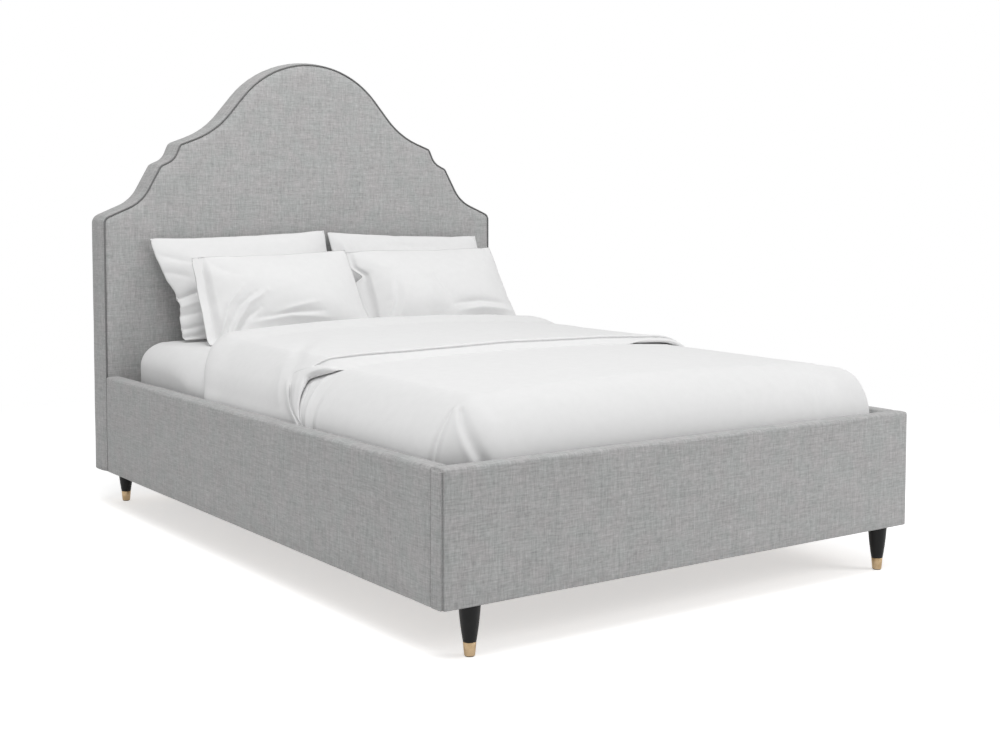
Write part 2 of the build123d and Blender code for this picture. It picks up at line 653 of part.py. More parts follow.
def duvet():
    """Duvet tucked in at both sides and the foot, crowned on top, its head end turned back as a cuff."""
    loft_rise = (DUVET_HEAD_LOFT - DUVET_FOOT_LOFT) / (DUVET_HEAD - DUVET_OUTER_FOOT)
    cuff_foot = DUVET_HEAD - CUFF_LENGTH
    cuff_loft = DUVET_HEAD_LOFT - loft_rise * CUFF_LENGTH + CUFF_LOFT
    body = loft([
        duvet_section(DUVET_OUTER_FOOT, DUVET_FOOT_LOFT, DUVET_FOOT_CROWN),
        duvet_section(DUVET_HEAD, DUVET_HEAD_LOFT, DUVET_HEAD_CROWN),
    ])
    foot = body.faces().sort_by(Axis.Y)[0]
    body = fillet([e for e in foot.edges() if e.center().Z > DUVET_HEM_HEIGHT + FIT], DUVET_FOOT_ROUND)
    cuff = loft([
        duvet_section(cuff_foot, cuff_loft, DUVET_HEAD_CROWN),
        duvet_section(DUVET_HEAD, DUVET_HEAD_LOFT + CUFF_LOFT, DUVET_HEAD_CROWN),
    ])
    for place, radius in ((0, CUFF_EDGE), (-1, CUFF_LOFT)):
        face = cuff.faces().sort_by(Axis.Y)[place]
        top = [e for e in face.edges() if e.center().Z > SHEET_TOP - DUVET_SHOULDER]
        cuff = fillet(top, radius)
    length = (DUVET_INNER_FOOT, HEAD_FRONT)
    height = (MATTRESS_BOTTOM, SHEET_TOP + DUVET_GAP / 2)
    room = padded_block(DUVET_INNER_X, length, height, MATTRESS_CORNER, MATTRESS_EDGE)
    return {"duvet": body + cuff + pleats() - room}


def pillow_section(x, height, thickness):
    """Lens section across a pillow at one place along its width."""
    low, high = Vector(0, -height / 2), Vector(0, height / 2)
    lens = ThreePointArc(low, (thickness / 2, 0), high) + ThreePointArc(high, (-thickness / 2, 0), low)
    return Plane.YZ.offset(x) * make_face(lens)


def pillow(width, height, thickness, lean, foot_y, centre_x):
    """Pillow with a crowned middle, thin hems and drawn-in sides, leaning back on its lower edge."""
    half = width / 2
    swell = (half * PILLOW_SWELL_PLACE, height - PILLOW_DRAW_IN, thickness * PILLOW_SWELL_SHARE)
    sections = [
        pillow_section(-half, height, PILLOW_HEM),
        pillow_section(-swell[0], *swell[1:]),
        pillow_section(0, height - 2 * PILLOW_DRAW_IN, thickness),
        pillow_section(*swell),
        pillow_section(half, height, PILLOW_HEM),
    ]
    form = Pos(0, 0, height / 2) * loft(sections)
    return Pos(centre_x, foot_y, SHEET_TOP + FIT) * Rot(-lean, 0, 0) * form


def pillows():
    """Two large pillows against the headboard and two small ones leaning on them."""
    nodes = {}
    for side, sign in (("left", -1), ("right", 1)):
        nodes[f"large_pillow_{side}"] = pillow(
            LARGE_PILLOW_WIDTH, LARGE_PILLOW_HEIGHT, LARGE_PILLOW_THICKNESS, LARGE_PILLOW_LEAN,
            HEAD_FRONT - LARGE_PILLOW_TO_HEADBOARD, sign * LARGE_PILLOW_X)
        nodes[f"small_pillow_{side}"] = pillow(
            SMALL_PILLOW_WIDTH, SMALL_PILLOW_HEIGHT, SMALL_PILLOW_THICKNESS, SMALL_PILLOW_LEAN,
            HEAD_FRONT - SMALL_PILLOW_TO_HEADBOARD, SMALL_PILLOWS_MIDDLE + sign * SMALL_PILLOW_X)
    return nodes


def build():
    """All nodes of the bed by name."""
    nodes = {}
    for group in (headboard_upholstery, headboard_frame, side_rails, footboard, legs, brackets, ledges,
                  slatted_base, props, mattress, duvet, pillows):
        nodes.update(group())
    return nodes


os.makedirs("parts", exist_ok=True)
for node, shape in build().items():
    export_step(shape, f"parts/{node}.step")
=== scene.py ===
"""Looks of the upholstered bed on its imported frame.

Metres, +Z up, the foot at -Y and the head at +Y. Covers, cushions, bedding and turned legs are built here
round the frame's nodes. The boards, slats, tubes and fixings keep their nodes and get their finish here.
"""
from __future__ import annotations

import logging
import math
from dataclasses import dataclass
from enum import Enum
from typing import Iterable, Sequence

import bmesh
import bpy
import numpy as np
from mathutils import Euler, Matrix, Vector, noise
from mathutils.geometry import delaunay_2d_cdt


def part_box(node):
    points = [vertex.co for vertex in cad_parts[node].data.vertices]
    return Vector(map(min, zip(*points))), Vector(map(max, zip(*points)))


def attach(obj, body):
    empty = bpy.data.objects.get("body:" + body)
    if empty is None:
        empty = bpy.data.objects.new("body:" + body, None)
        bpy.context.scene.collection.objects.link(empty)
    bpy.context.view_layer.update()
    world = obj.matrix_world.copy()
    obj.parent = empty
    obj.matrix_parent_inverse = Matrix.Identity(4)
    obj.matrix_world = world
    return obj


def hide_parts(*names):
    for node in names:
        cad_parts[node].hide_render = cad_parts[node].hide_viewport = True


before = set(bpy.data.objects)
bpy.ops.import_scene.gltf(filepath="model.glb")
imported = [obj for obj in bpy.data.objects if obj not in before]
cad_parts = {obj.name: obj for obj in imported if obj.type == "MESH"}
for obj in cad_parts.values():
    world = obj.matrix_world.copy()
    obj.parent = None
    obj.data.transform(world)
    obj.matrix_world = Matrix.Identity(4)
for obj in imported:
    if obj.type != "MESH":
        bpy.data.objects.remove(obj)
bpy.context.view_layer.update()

MM = 0.001
TO_FOOT, TO_HEAD, UPWARDS = (0.0, -1.0, 0.0), (0.0, 1.0, 0.0), (0.0, 0.0, 1.0)
LOG = logging.getLogger("bed")
Faces = list[tuple[int, ...]]
Pair = tuple[float, float]
Pairs = tuple[Pair, ...]
Triple = tuple[float, float, float]
Array = np.ndarray
Rows = tuple[Array, Array, Array]
Piece = bpy.types.Object
Socket = bpy.types.NodeSocket
Tree = bpy.types.NodeTree


class Side(Enum):
    """The two sides of the bed, seen from the foot, with the sign of X there."""

    LEFT = -1
    RIGHT = 1

    @property
    def word(self) -> str:
        """The side's name as it stands in the node names."""
        return self.name.lower()


class Grain(Enum):
    """The axis that wood grain runs along."""

    X = 0
    Y = 1
    Z = 2


def linear(code: str) -> tuple[float, float, float, float]:
    """An sRGB hex colour as linear red, green, blue and alpha."""
    channels = [int(code[start:start + 2], 16) / 255 for start in (1, 3, 5)]
    red, green, blue = (c / 12.92 if c <= 0.04045 else ((c + 0.055) / 1.055) ** 2.4 for c in channels)
    return red, green, blue, 1.0


def feed(tree: Tree, node: bpy.types.Node, inputs: dict) -> None:
    """Sets a node's sockets by name or number, or links other nodes' sockets to them."""
    for key, value in inputs.items():
        if isinstance(value, Socket):
            tree.links.new(value, node.inputs[key])
        else:
            node.inputs[key].default_value = value


def add(tree: Tree, kind: str, settings: dict | None = None,
        inputs: dict | None = None) -> bpy.types.Node:
    """Adds one node to a tree.

    Args:
        tree: The shader or geometry tree.
        kind: The node's type name.
        settings: Options of the node itself.
        inputs: Values for its sockets, or the sockets that are linked to them.

    Returns:
        The new node.
    """
    made = tree.nodes.new(kind)
    for key, value in (settings or {}).items():
        setattr(made, key, value)
    feed(tree, made, inputs or {})
    return made


def two_tone(tree: Tree, value: Socket, span: Pair, first: str,
             second: str) -> Socket:
    """Blends two hex colours by a value.

    Args:
        tree: The material's tree.
        value: The socket that the blend follows.
        span: Its values where only the first and only the second colour shows.
        first: The first colour.
        second: The second colour.

    Returns:
        The blended colour.
    """
    level = add(tree, "ShaderNodeMapRange", None, {"Value": value, "From Min": span[0], "From Max": span[1]})
    return add(tree, "ShaderNodeMix", {"data_type": "RGBA"}, {
        0: level.outputs[0], 6: linear(first), 7: linear(second)}).outputs[2]


def band_scale(spacing: float) -> float:
    """Scale of a wave texture whose bands lie a spacing in millimetres apart."""
    return math.tau / 20 / (spacing * MM)


def ease(low: float, high: float, value: Array | float) -> Array | float:
    """A smooth step from 0 at low to 1 at high."""
    share = np.clip((value - low) / (high - low), 0.0, 1.0)
    return share * share * (3 - 2 * share)


def window(stops: Sequence[float], value: Array) -> Array:
    """A smooth rise from 0 to 1 between the first two of four stops, and back between the last two."""
    return ease(*stops[:2], value) * (1 - ease(*stops[2:], value))


def mound(value: Array, middle: Array | float, width: float) -> Array:
    """A smooth mound of height 1 round a middle value."""
    return np.exp(-((value - middle) / width) ** 2)


def swell(points: Array, size: float, seed: float) -> Array:
    """Smooth noise from -1 to 1 at each point.

    Args:
        points: Places, one row of two or three numbers each.
        size: Width of one swelling, in metres.
        seed: Moves the pattern, so that pieces differ.

    Returns:
        One number for each point.
    """
    flat = np.asarray(points, float) / size
    if flat.shape[1] == 2:
        flat = np.column_stack([flat, np.zeros(len(flat))])
    return np.array([noise.noise(Vector(row) + Vector((seed, seed * 0.37, seed * 0.71))) for row in flat])


def grid_faces(rows: int, columns: int, first: int = 0, flip: bool = False) -> Faces:
    """Quads of a grid whose points are numbered row by row."""
    faces = []
    for row in range(rows - 1):
        for column in range(columns - 1):
            a = first + row * columns + column
            quad = (a, a + 1, a + columns + 1, a + columns)
            faces.append(quad[::-1] if flip else quad)
    return faces


def band_faces(near: int, far: int, count: int) -> Faces:
    """Quads between two closed rings of points, numbered from near and from far."""
    return [(near + n, near + m, far + m, far + n) for n, m in enumerate((*range(1, count), 0))]


def upright(flat: Array, y: Array | float) -> Array:
    """Points of an upright plane, given by X and Z, at a place along Y."""
    return np.column_stack([flat[:, 0], np.broadcast_to(y, len(flat)), flat[:, 1]])


def walked_along(line: Array) -> Array:
    """Distance walked along a line at each of its points."""
    return np.concatenate([[0.0], np.cumsum(np.linalg.norm(np.diff(line, axis=0), axis=1))])


def beside(line: Array) -> Array:
    """Directions square to a line in the plane, to its right."""
    tangent = np.gradient(line, axis=0)
    tangent /= np.linalg.norm(tangent, axis=1)[:, None]
    return np.column_stack([tangent[:, 1], -tangent[:, 0]])


def make_piece(name: str, points: Array, faces: Faces, uv: Array | None = None,
               outward: bool = True) -> Piece:
    """A smooth mesh object at the origin.

    Args:
        name: The piece's name.
        points: Places of the vertices.
        faces: Vertex numbers of each face.
        uv: Cloth coordinates of the vertices in metres.
        outward: Whether the faces are turned to point outwards, which suits a closed mesh.

    Returns:
        The new object, in the scene.
    """
    mesh = bpy.data.meshes.new(name)
    mesh.from_pydata([tuple(map(float, p)) for p in points], [], faces)
    if uv is not None:
        layer = mesh.uv_layers.new(name="cloth")
        corners = np.empty(len(mesh.loops), np.int32)
        mesh.loops.foreach_get("vertex_index", corners)
        layer.data.foreach_set("uv", np.asarray(uv, np.float32)[corners].ravel())
    if outward:
        work = bmesh.new()
        work.from_mesh(mesh)
        bmesh.ops.recalc_face_normals(work, faces=work.faces)
        work.to_mesh(mesh)
        work.free()
    mesh.shade_smooth()
    made = bpy.data.objects.new(name, mesh)
    bpy.context.scene.collection.objects.link(made)
    return made


def turn_faces(piece: Piece, way: Triple) -> None:
    """Turns a sheet's faces round where most of them point away from a direction."""
    facing = Vector(way)
    if sum(face.normal.dot(facing) * face.area for face in piece.data.polygons) < 0:
        piece.data.flip_normals()


def thicken(piece: Piece, thickness: float) -> None:
    """Gives a sheet its thickness, towards the back of its faces."""
    wall = piece.modifiers.new("wall", "SOLIDIFY")
    wall.thickness = thickness
    wall.offset = -1.0


def inside_outline(points: Array, outline: Array) -> Array:
    """Which points lie inside a closed outline."""
    inside = np.zeros(len(points), bool)
    following = np.roll(outline, -1, axis=0)
    for (ax, ay), (bx, by) in zip(outline, following):
        if ay == by:
            continue
        crosses = (ay > points[:, 1]) != (by > points[:, 1])
        reach = (bx - ax) * (points[:, 1] - ay) / (by - ay) + ax
        inside ^= crosses & (points[:, 0] < reach)
    return inside


def distance_to_line(points: Array, line: Array) -> tuple[Array, Array]:
    """How far points lie from a line of straight runs.

    Args:
        points: Places in the plane.
        line: Corners of the line, in order.

    Returns:
        The distance of each point, and how far along the line its nearest place is, from 0 to 1.
    """
    best = np.full(len(points), np.inf)
    place = np.zeros(len(points))
    runs = np.linalg.norm(np.diff(line, axis=0), axis=1)
    walked = walked_along(line)
    for start, end, length, before in zip(line[:-1], line[1:], runs, walked):
        if length == 0:
            continue
        way = (end - start) / length
        along = np.clip((points - start) @ way, 0, length)
        away = np.linalg.norm(points - start - along[:, None] * way, axis=1)
        nearer = away < best
        best[nearer] = away[nearer]
        place[nearer] = (before + along[nearer]) / walked[-1]
    return best, place


def fill_outline(outline: Array, rings: Sequence[Array], pitch: float) -> tuple[Array, Faces]:
    """Triangles inside a closed outline.

    Args:
        outline: Corners of the outline in the plane.
        rings: Further points that the triangles pass through.
        pitch: Spacing of the grid of points in the middle.

    Returns:
        The points, the outline's first, and the triangles.
    """
    low, high = outline.min(0), outline.max(0)
    across = np.arange(low[0] + pitch / 2, high[0], pitch)
    up = np.arange(low[1] + pitch / 2, high[1], pitch)
    grid = np.array([(x, z) for x in across for z in up])
    inner = rings[-1] if rings else outline
    clear = distance_to_line(grid, inner)[0] > pitch * 0.6
    grid = grid[clear & inside_outline(grid, inner)]
    points = np.vstack([outline, *rings, grid])
    count = len(outline)
    edges = [(n, (n + 1) % count) for n in range(count)]
    places, _, faces, *_ = delaunay_2d_cdt([Vector(p) for p in points], edges, [], 1, 1e-6)
    return np.array([tuple(p) for p in places]), [tuple(f) for f in faces]


@dataclass(frozen=True)
class Finish:
    """A surface finish. Its material is made once and shared by the pieces that wear it."""

    name: str

    def build(self, tree: Tree, shader: bpy.types.Node) -> None:
        """Adds the finish's nodes to a material's tree."""
        raise NotImplementedError

    def material(self) -> bpy.types.Material:
        """The finish's material."""
        made = bpy.data.materials.get(self.name)
        if made is None:
            made = bpy.data.materials.new(self.name)
            made.use_nodes = True
            self.build(made.node_tree, made.node_tree.nodes["Principled BSDF"])
        return made


@dataclass(frozen=True)
class SlubLinen(Finish):
    """Woven slub linen: uneven yarns give short pale and dark streaks both ways, and the surface is matt."""

    dark: str
    light: str
    warm: str
    cool: str
    # Width, length and share of the fine and the long slubs
    slubs: tuple[Triple, ...] = ((3.2, 22.0, 0.6), (5.5, 80.0, 0.4))
    # The real yarn spacing of about 1 mm is too fine to show, so it is drawn coarser
    yarn: float = 2.6
    tint_size: float = 75.0
    relief: float = 0.35

    def build(self, tree: Tree, shader: bpy.types.Node) -> None:
        """Streaks along and across, a slow change of tint, and yarn relief."""
        cloth = add(tree, "ShaderNodeUVMap", {"uv_map": "cloth"}).outputs["UV"]
        both = 0.0
        for number, (width, length, share) in enumerate(self.slubs):
            across, along = 1 / (width * MM), 1 / (length * MM)
            for turn, scale in enumerate(((across, along, 1), (along, across, 1))):
                place = add(tree, "ShaderNodeMapping", None, {
                    "Vector": cloth, "Scale": scale, "Location": (7.3 * turn, 2.1 * turn, 3.7 * number)})
                streaks = add(tree, "ShaderNodeTexNoise", None, {
                    "Vector": place.outputs["Vector"], "Scale": 1.0, "Detail": 2.0, "Roughness": 0.65})
                both = add(tree, "ShaderNodeMath", {"operation": "MULTIPLY_ADD"}, {
                    0: streaks.outputs["Fac"], 1: share, 2: both}).outputs[0]
        patch = add(tree, "ShaderNodeTexNoise", None, {
            "Vector": cloth, "Scale": 1 / (self.tint_size * MM), "Detail": 3.0, "Roughness": 0.6})
        colour = add(tree, "ShaderNodeMix", {"data_type": "RGBA", "blend_type": "MULTIPLY"}, {
            0: 1.0, 6: two_tone(tree, both, (0.72, 1.28), self.dark, self.light),
            7: two_tone(tree, patch.outputs["Fac"], (0.38, 0.62), self.warm, self.cool)})
        yarns = [add(tree, "ShaderNodeTexWave", {"bands_direction": axis}, {
            "Vector": cloth, "Scale": band_scale(self.yarn), "Distortion": 1.2, "Detail": 1.0,
            "Detail Scale": 1.4}).outputs["Fac"] for axis in ("X", "Y")]
        weave = add(tree, "ShaderNodeMath", {"operation": "MAXIMUM"}, {0: yarns[0], 1: yarns[1]})
        raised = add(tree, "ShaderNodeMath", {"operation": "MULTIPLY_ADD"},
                     {0: both, 1: 2.0, 2: weave.outputs[0]})
        bump = add(tree, "ShaderNodeBump", None, {
            "Height": raised.outputs[0], "Strength": self.relief, "Distance": 0.5 * MM})
        feed(tree, shader, {
            "Base Color": colour.outputs[2], "Normal": bump.outputs["Normal"], "Roughness": 0.92,
            "Specular IOR Level": 0.25, "Sheen Weight": 0.12, "Sheen Roughness": 0.6})


@dataclass(frozen=True)
class PlainCloth(Finish):
    """Plain-woven cotton or lining: an even colour with a soft grain, faint creases with painted shade in
    their hollows, and a matt surface.
    """

    colour: str
    # Colour of the painted shade in the low places of the grain and crease relief
    hollow_shade: str
    grain: float = 1.6
    crease: float = 22.0
    relief: float = 0.15
    sheen: float = 0.1
    roughness: float = 0.88

    def build(self, tree: Tree, shader: bpy.types.Node) -> None:
        """Fine grain and faint creases in relief; the colour follows the same relief, so the grain gives a
        random tone and the crease hollows get painted shade.
        """
        place = add(tree, "ShaderNodeTexCoord").outputs["Object"]
        fine = add(tree, "ShaderNodeTexNoise", None, {
            "Vector": place, "Scale": 1 / (self.grain * MM), "Detail": 2.0})
        soft = add(tree, "ShaderNodeTexNoise", None, {
            "Vector": place, "Scale": 1 / (self.crease * MM), "Detail": 4.0, "Roughness": 0.55})
        blend = add(tree, "ShaderNodeMath", {"operation": "MULTIPLY_ADD"},
                    {0: fine.outputs["Fac"], 1: 0.35, 2: soft.outputs["Fac"]}).outputs[0]
        bump = add(tree, "ShaderNodeBump", None, {
            "Height": blend, "Strength": self.relief, "Distance": 0.6 * MM})
        feed(tree, shader, {
            # Painted shade: the colour darkens towards the shade colour where the relief is low
            "Base Color": two_tone(tree, blend, (0.45, 0.9), self.hollow_shade, self.colour),
            "Normal": bump.outputs["Normal"], "Roughness": self.roughness, "Specular IOR Level": 0.3,
            "Sheen Weight": self.sheen})


@dataclass(frozen=True)
class Ticking(PlainCloth):
    """Quilted mattress ticking: a diamond grid of stitched valleys in plain cloth."""

    diamond: float = 90.0

    def build(self, tree: Tree, shader: bpy.types.Node) -> None:
        """Adds the quilting to the plain cloth's relief."""
        super().build(tree, shader)
        place = add(tree, "ShaderNodeTexCoord").outputs["Object"]
        turned = add(tree, "ShaderNodeMapping", None, {"Vector": place, "Rotation": (0, 0, math.radians(45))})
        across, along = (add(tree, "ShaderNodeTexWave", {"bands_direction": axis}, {
            "Vector": turned.outputs[0], "Scale": band_scale(self.diamond)}) for axis in ("X", "Y"))
        quilt = add(tree, "ShaderNodeMath", {"operation": "MINIMUM"}, {
            0: across.outputs["Fac"], 1: along.outputs["Fac"]})
        bump = add(tree, "ShaderNodeBump", None, {
            "Height": quilt.outputs[0], "Strength": 0.6, "Distance": 6 * MM})
        feed(tree, shader, {"Normal": bump.outputs["Normal"]})


@dataclass(frozen=True)
class Wood(Finish):
    """Wood with grain along one axis: growth lines stretched along it, pores, and a planed surface."""

    pale: str
    dark: str
    grain: Grain
    line: float = 6.0
    stretch: float = 40.0
    roughness: float = 0.6
    coat: float = 0.0

    def build(self, tree: Tree, shader: bpy.types.Node) -> None:
        """Growth lines and fine pores, both drawn out along the grain."""
        place = add(tree, "ShaderNodeTexCoord").outputs["Object"]
        scale = [1 / (self.line * MM)] * 3
        scale[self.grain.value] /= self.stretch
        drawn = add(tree, "ShaderNodeMapping", None, {"Vector": place, "Scale": scale})
        rings = add(tree, "ShaderNodeTexNoise", None, {
            "Vector": drawn.outputs[0], "Scale": 1.0, "Detail": 5.0, "Roughness": 0.65, "Distortion": 0.6})
        pores = add(tree, "ShaderNodeTexNoise", None, {
            "Vector": drawn.outputs[0], "Scale": 7.0, "Detail": 2.0})
        mixed = add(tree, "ShaderNodeMath", {"operation": "MULTIPLY_ADD"},
                    {0: pores.outputs["Fac"], 1: 0.4, 2: rings.outputs["Fac"]}).outputs[0]
        bump = add(tree, "ShaderNodeBump", None, {"Height": mixed, "Strength": 0.15, "Distance": 0.3 * MM})
        feed(tree, shader, {
            "Base Color": two_tone(tree, mixed, (0.45, 0.95), self.dark, self.pale),
            "Normal": bump.outputs["Normal"], "Roughness": self.roughness, "Coat Weight": self.coat})


@dataclass(frozen=True)
class Plywood(Wood):
    """Sawn plywood: a quiet face veneer, and pale and dark plies where a cut edge shows."""

    ply: float = 2.4
    through: Grain = Grain.X

    def build(self, tree: Tree, shader: bpy.types.Node) -> None:
        """Darkens every other ply through the board's thickness."""
        super().build(tree, shader)
        face = shader.inputs["Base Color"].links[0].from_socket
        place = add(tree, "ShaderNodeTexCoord").outputs["Object"]
        plies = add(tree, "ShaderNodeTexWave", {"bands_direction": self.through.name}, {
            "Vector": place, "Scale": band_scale(2 * self.ply)})
        step = add(tree, "ShaderNodeMapRange", None, {
            "Value": plies.outputs["Fac"], "From Min": 0.45, "From Max": 0.55, "To Min": 0.72})
        colour = add(tree, "ShaderNodeMix", {"data_type": "RGBA", "blend_type": "MULTIPLY"}, {
            0: 1.0, 6: face, 7: step.outputs[0]})
        feed(tree, shader, {"Base Color": colour.outputs[2]})


@dataclass(frozen=True)
class Coating(Finish):
    """Paint, lacquer or moulded plastic: one colour, slightly uneven, over a fine texture."""

    colour: str
    rubbed: str
    grit: float
    roughness: float
    gloss: float = 0.5
    relief: float = 0.1

    def build(self, tree: Tree, shader: bpy.types.Node) -> None:
        """Fine texture in relief and gloss, with slow patches of wear in the colour."""
        place = add(tree, "ShaderNodeTexCoord").outputs["Object"]
        fine = add(tree, "ShaderNodeTexNoise", None, {
            "Vector": place, "Scale": 1 / (self.grit * MM), "Detail": 3.0})
        wear = add(tree, "ShaderNodeTexNoise", None, {
            "Vector": place, "Scale": 1 / (12 * self.grit * MM), "Detail": 4.0})
        gloss = add(tree, "ShaderNodeMapRange", None, {
            "Value": fine.outputs["Fac"], "To Min": self.roughness - 0.06, "To Max": self.roughness + 0.06})
        bump = add(tree, "ShaderNodeBump", None, {
            "Height": fine.outputs["Fac"], "Strength": self.relief, "Distance": 0.2 * MM})
        feed(tree, shader, {
            "Base Color": two_tone(tree, wear.outputs["Fac"], (0.45, 0.8), self.colour, self.rubbed),
            "Roughness": gloss.outputs[0], "Normal": bump.outputs["Normal"],
            "Specular IOR Level": self.gloss})


@dataclass(frozen=True)
class Metal(Finish):
    """Bare or plated metal: fine lines left by turning or plating, and small changes of tint and gloss."""

    colour: str
    tarnish: str
    line: float
    roughness: float
    lines_across: Grain = Grain.Z

    def build(self, tree: Tree, shader: bpy.types.Node) -> None:
        """Turning lines across one axis, with patches of tarnish."""
        place = add(tree, "ShaderNodeTexCoord").outputs["Object"]
        scale = [1 / (60 * self.line * MM)] * 3
        scale[self.lines_across.value] = 1 / (self.line * MM)
        drawn = add(tree, "ShaderNodeMapping", None, {"Vector": place, "Scale": scale})
        lines = add(tree, "ShaderNodeTexNoise", None, {
            "Vector": drawn.outputs[0], "Scale": 1.0, "Detail": 2.0})
        patch = add(tree, "ShaderNodeTexNoise", None, {
            "Vector": place, "Scale": 1 / (30 * self.line * MM), "Detail": 3.0})
        gloss = add(tree, "ShaderNodeMapRange", None, {
            "Value": lines.outputs["Fac"], "To Min": self.roughness - 0.07, "To Max": self.roughness + 0.1})
        bump = add(tree, "ShaderNodeBump", None, {
            "Height": lines.outputs["Fac"], "Strength": 0.08, "Distance": 0.1 * MM})
        feed(tree, shader, {
            "Base Color": two_tone(tree, patch.outputs["Fac"], (0.4, 0.8), self.colour, self.tarnish),
            "Roughness": gloss.outputs[0], "Normal": bump.outputs["Normal"], "Metallic": 1.0})


LINEN = SlubLinen("slub_linen_woven", "#989898", "#C8C8C8", "#FFFDFD", "#FBFDFC")
# The piping's darker grey is painted shade: it stands in for the shade in the seams either side of the linen
# cord
PIPING_CLOTH_SEAM_SHADE = PlainCloth("piping_cloth_painted_seam_shade", "#868686", "#727272", grain=1.4, crease=4.0, relief=0.4)
LINING_CLOTH = PlainCloth("lining_cloth_bonded", "#6B6A69", "#585756", grain=1.2, crease=9.0, relief=0.3)
COTTON = PlainCloth("cotton_percale_washed", "#EBEBEB", "#E8E8E8", crease=26.0, relief=0.10)
TICKING = Ticking("mattress_ticking_quilted", "#E8E7E3", "#D9D8D3")
FOAM = PlainCloth("polyurethane_foam_cut", "#E3DCC2", "#CFC6A6", grain=2.0, crease=7.0, relief=0.5, sheen=0.0)
FELT = PlainCloth("wool_felt_pressed", "#4A463F", "#35322D", grain=0.8, crease=3.0, relief=0.5, sheen=0.2)
PINE_X = Wood("pine_planed_across", "#D9B98B", "#B98F5C", Grain.X)
PINE_Y = Wood("pine_planed_along", "#D9B98B", "#B98F5C", Grain.Y)
PINE_Z = Wood("pine_planed_upright", "#D9B98B", "#B98F5C", Grain.Z)
BEECH = Wood("beech_laminated_lacquered", "#D8B088", "#BE8F63", Grain.X, line=4.0, roughness=0.38, coat=0.2)
PLY_HEAD = Plywood("birch_plywood_headboard", "#D6B98F", "#B8945F", Grain.Z, line=9.0, through=Grain.Y)
PLY_RAIL = Plywood("birch_plywood_rail", "#D6B98F", "#B8945F", Grain.Y, line=9.0, through=Grain.X)
PLY_FOOT = Plywood("birch_plywood_footboard", "#D6B98F", "#B8945F", Grain.X, line=9.0, through=Grain.Y)
BLACK_LACQUER = Coating("black_lacquer_satin", "#0D0D0E", "#131314", grit=1.5, roughness=0.42, gloss=0.22)
POWDER_COAT = Coating("powder_coat_black", "#1A1A1B", "#262626", grit=1.2, roughness=0.55, relief=0.4)
NYLON = Coating("nylon_moulded_black", "#1C1C1D", "#272728", grit=0.9, roughness=0.5, relief=0.2)
BRASS = Metal("brass_turned_polished", "#B59E7F", "#9B825F", line=0.6, roughness=0.24)
ZINC = Metal("zinc_plated_steel", "#C9CBCD", "#A8ABAE", line=0.8, roughness=0.36)


def dress(piece: Piece, finish: Finish, slot: str, body: str, *nodes: str) -> Piece:
    """Gives a finished piece its material and body.

    Args:
        piece: The piece, in its place.
        finish: Its surface finish.
        slot: The record's material slot; not used.
        body: The body that it moves with.
        nodes: The CAD nodes that it stands for.

    Returns:
        The same piece.
    """
    piece.data.materials.clear()
    piece.data.materials.append(finish.material())
    if nodes:
        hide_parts(*nodes)
    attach(piece, body)
    LOG.info("%s on %s: %d faces", piece.name, body, len(piece.data.polygons))
    return piece


def run_nodes(name: str, path: Array, tree: Tree, values: dict) -> Piece:
    """Runs a geometry tree on a path and keeps its result as a plain mesh.

    Args:
        name: The new piece's name.
        path: Corners of the path.
        tree: The geometry tree.
        values: Its inputs by name.

    Returns:
        The new object, in the scene.
    """
    mesh = bpy.data.meshes.new(name + "_path")
    mesh.from_pydata([tuple(map(float, p)) for p in path], [(n, n + 1) for n in range(len(path) - 1)], [])
    source = bpy.data.objects.new(name + "_path", mesh)
    bpy.context.scene.collection.objects.link(source)
    modifier = source.modifiers.new(name, "NODES")
    modifier.node_group = tree
    for socket in tree.interface.items_tree:
        if socket.in_out == "INPUT" and socket.name in values:
            modifier[socket.identifier] = values[socket.name]
    source.update_tag()
    bpy.context.view_layer.update()
    seen = source.evaluated_get(bpy.context.evaluated_depsgraph_get())
    result = bpy.data.meshes.new_from_object(seen)
    source.modifiers.remove(modifier)
    bpy.data.objects.remove(source)
    made = bpy.data.objects.new(name, result)
    bpy.context.scene.collection.objects.link(made)
    return made


def new_tree(name: str, sizes: Iterable[str]) -> tuple[Tree, bpy.types.Node]:
    """An empty geometry tree with inputs for its path, sizes and material.

    Args:
        name: The tree's name.
        sizes: Names of its number inputs.

    Returns:
        The tree and its input node.
    """
    tree = bpy.data.node_groups.new(name, "GeometryNodeTree")
    tree.interface.new_socket(name="Path", in_out="INPUT", socket_type="NodeSocketGeometry")
    for size in sizes:
        tree.interface.new_socket(name=size, in_out="INPUT", socket_type="NodeSocketFloat")
    tree.interface.new_socket(name="Finish", in_out="INPUT", socket_type="NodeSocketMaterial")
    tree.interface.new_socket(name="Piece", in_out="OUTPUT", socket_type="NodeSocketGeometry")
    return tree, add(tree, "NodeGroupInput")


def end_tree(tree: Tree, given: bpy.types.Node, shape: Socket) -> None:
    """Ends a geometry tree: instances made real, smooth shading and the material."""
    real = add(tree, "GeometryNodeRealizeInstances", None, {"Geometry": shape})
    smooth = add(tree, "GeometryNodeSetShadeSmooth", None, {0: real.outputs[0]})
    worn = add(tree, "GeometryNodeSetMaterial", None, {
        "Geometry": smooth.outputs[0], "Material": given.outputs["Finish"]})
    add(tree, "NodeGroupOutput", None, {"Piece": worn.outputs[0]})


